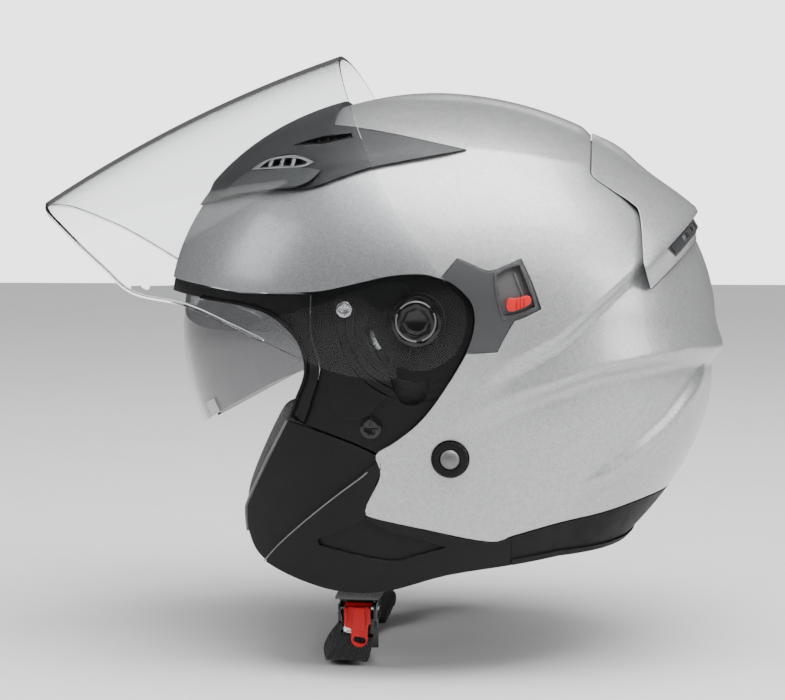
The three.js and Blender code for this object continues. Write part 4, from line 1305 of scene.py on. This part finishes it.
def padded(source, name, cap, voxel=padding["voxel"]):
    node = bpy.data.objects[source]
    activate(node)
    bpy.ops.object.duplicate()
    pad = named(name)
    for key in list(pad.keys()):
        del pad[key]
    pad.data.materials.clear()
    bpy.ops.object.mode_set(mode="EDIT")
    bpy.ops.mesh.select_all(action="SELECT")
    bpy.ops.mesh.remove_doubles(threshold=0.00001)
    bpy.ops.object.mode_set(mode="OBJECT")
    applyModifier(pad, "REMESH", mode="VOXEL", voxel_size=voxel * mm)
    applyModifier(pad, "SMOOTH", factor=0.6, iterations=6)
    start = getPoints(pad)
    activate(pad)
    cloth = pad.modifiers.new("swell", "CLOTH")
    cloth.settings.use_pressure = True
    cloth.settings.uniform_pressure_force = padding["pressure"]
    cloth.settings.effector_weights.gravity = 0
    for step in range(1, padding["frames"] + 1):
        bpy.context.scene.frame_set(step)
    shaped = pad.evaluated_get(bpy.context.evaluated_depsgraph_get())
    swollen = np.empty(len(shaped.data.vertices) * 3)
    shaped.data.vertices.foreach_get("co", swollen)
    move = swollen.reshape(-1, 3) - start
    bpy.ops.object.modifier_remove(modifier=cloth.name)
    bpy.context.scene.frame_set(1)
    size = np.linalg.norm(move, axis=1, keepdims=True).clip(1e-9)
    setPoints(pad, start + move * np.minimum(1, cap * mm / size))
    applyModifier(pad, "SMOOTH", factor=0.5, iterations=3)
    applyModifier(pad, "SUBSURF", levels=1)
    smooth(pad, 80)
    return pad


crownPad = padded("comfort_crown_pad", "comfortCrownPad", 5)
finish(crownPad, liningCloth, nodes=["comfort_crown_pad"])
neckRoll = padded("neck_roll", "neckRoll", 6)
finish(neckRoll, liningCloth, nodes=["neck_roll"])
cheekLeft = padded("cheek_pad_left", "cheekPadLeft", 5)
finish(cheekLeft, meshCloth, nodes=["cheek_pad_left"])
cheekRight = mirrorCopy(cheekLeft, "cheekPadRight")
finish(cheekRight, meshCloth, nodes=["cheek_pad_right"])
chinPad = padded("chin_pad", "chinPad", 1, 1.6)
finish(chinPad, liningCloth, nodes=["chin_pad"])
print("pads")


for ball in balls.values():
    bpy.data.objects.remove(ball)


# floor, light and camera

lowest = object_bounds()[0][2]
clearSelection()
bpy.ops.mesh.primitive_plane_add(size=14, location=(0, 0, lowest - 0.0005))
floor = named("floor")
applyPlace(floor)
pale, tree, shader, where = newMaterial("pale", Roughness=0.85)
tree.links.new(mixColours(tree, useGroup(tree, "handling", where, Scale=2.0)["Mask"], (0.76, 0.76, 0.76),
    (0.72, 0.72, 0.72)),
               shader.inputs["Base Color"])
floor.data.materials.append(pale)
world = bpy.context.scene.world or bpy.data.worlds.new("studio")
bpy.context.scene.world = world
world.use_nodes = True
sky = world.node_tree.nodes["Background"]
sky.inputs["Color"].default_value = (1, 1, 1, 1)
rays = world.node_tree.nodes.new("ShaderNodeLightPath").outputs
bounces = mathIn(world.node_tree, "ADD", rays["Diffuse Depth"], rays["Glossy Depth"])
through = mathIn(world.node_tree, "MULTIPLY", rays["Is Transmission Ray"],
                 mathIn(world.node_tree, "LESS_THAN", bounces, 0.5))  # seen straight through the lenses
seen = mathIn(world.node_tree, "MAXIMUM", rays["Is Camera Ray"], through)
world.node_tree.links.new(span(world.node_tree, seen, 0.16, 3.0), sky.inputs["Strength"])
clearSelection()
bpy.ops.object.light_add(type="SUN", rotation=(math.radians(-12), math.radians(20), 0))
daylight = bpy.context.object
daylight.name = "daylight"
daylight.data.energy = 2.4
daylight.data.angle = math.radians(75)
lamps = [
    {"name": "topLight", "place": (0.5, 0.3, 1.7), "size": 1.6, "energy": 55},
    {"name": "frontLight", "place": (0.7, -1.7, 1.0), "size": 1.0, "energy": 16},
    {"name": "rearLight", "place": (0.9, 1.8, 0.8), "size": 1.0, "energy": 20},
]
middle = Vector((0, -0.0237, -0.0206))
for lamp in lamps:
    clearSelection()
    bpy.ops.object.light_add(type="AREA", location=lamp["place"])
    light = bpy.context.object
    light.name = lamp["name"]
    light.data.size = lamp["size"]
    light.data.energy = lamp["energy"]
    light.rotation_euler = (middle - light.location).to_track_quat("-Z", "Y").to_euler()

clearSelection()
bpy.ops.object.camera_add(location=(0.9927, 0.0807, 0.0404))
camera = bpy.context.object
camera.name = "camera"
camera.data.lens = 88
camera.rotation_euler = (middle - camera.location).to_track_quat("-Z", "Y").to_euler()
bpy.context.scene.camera = camera
print("staged")
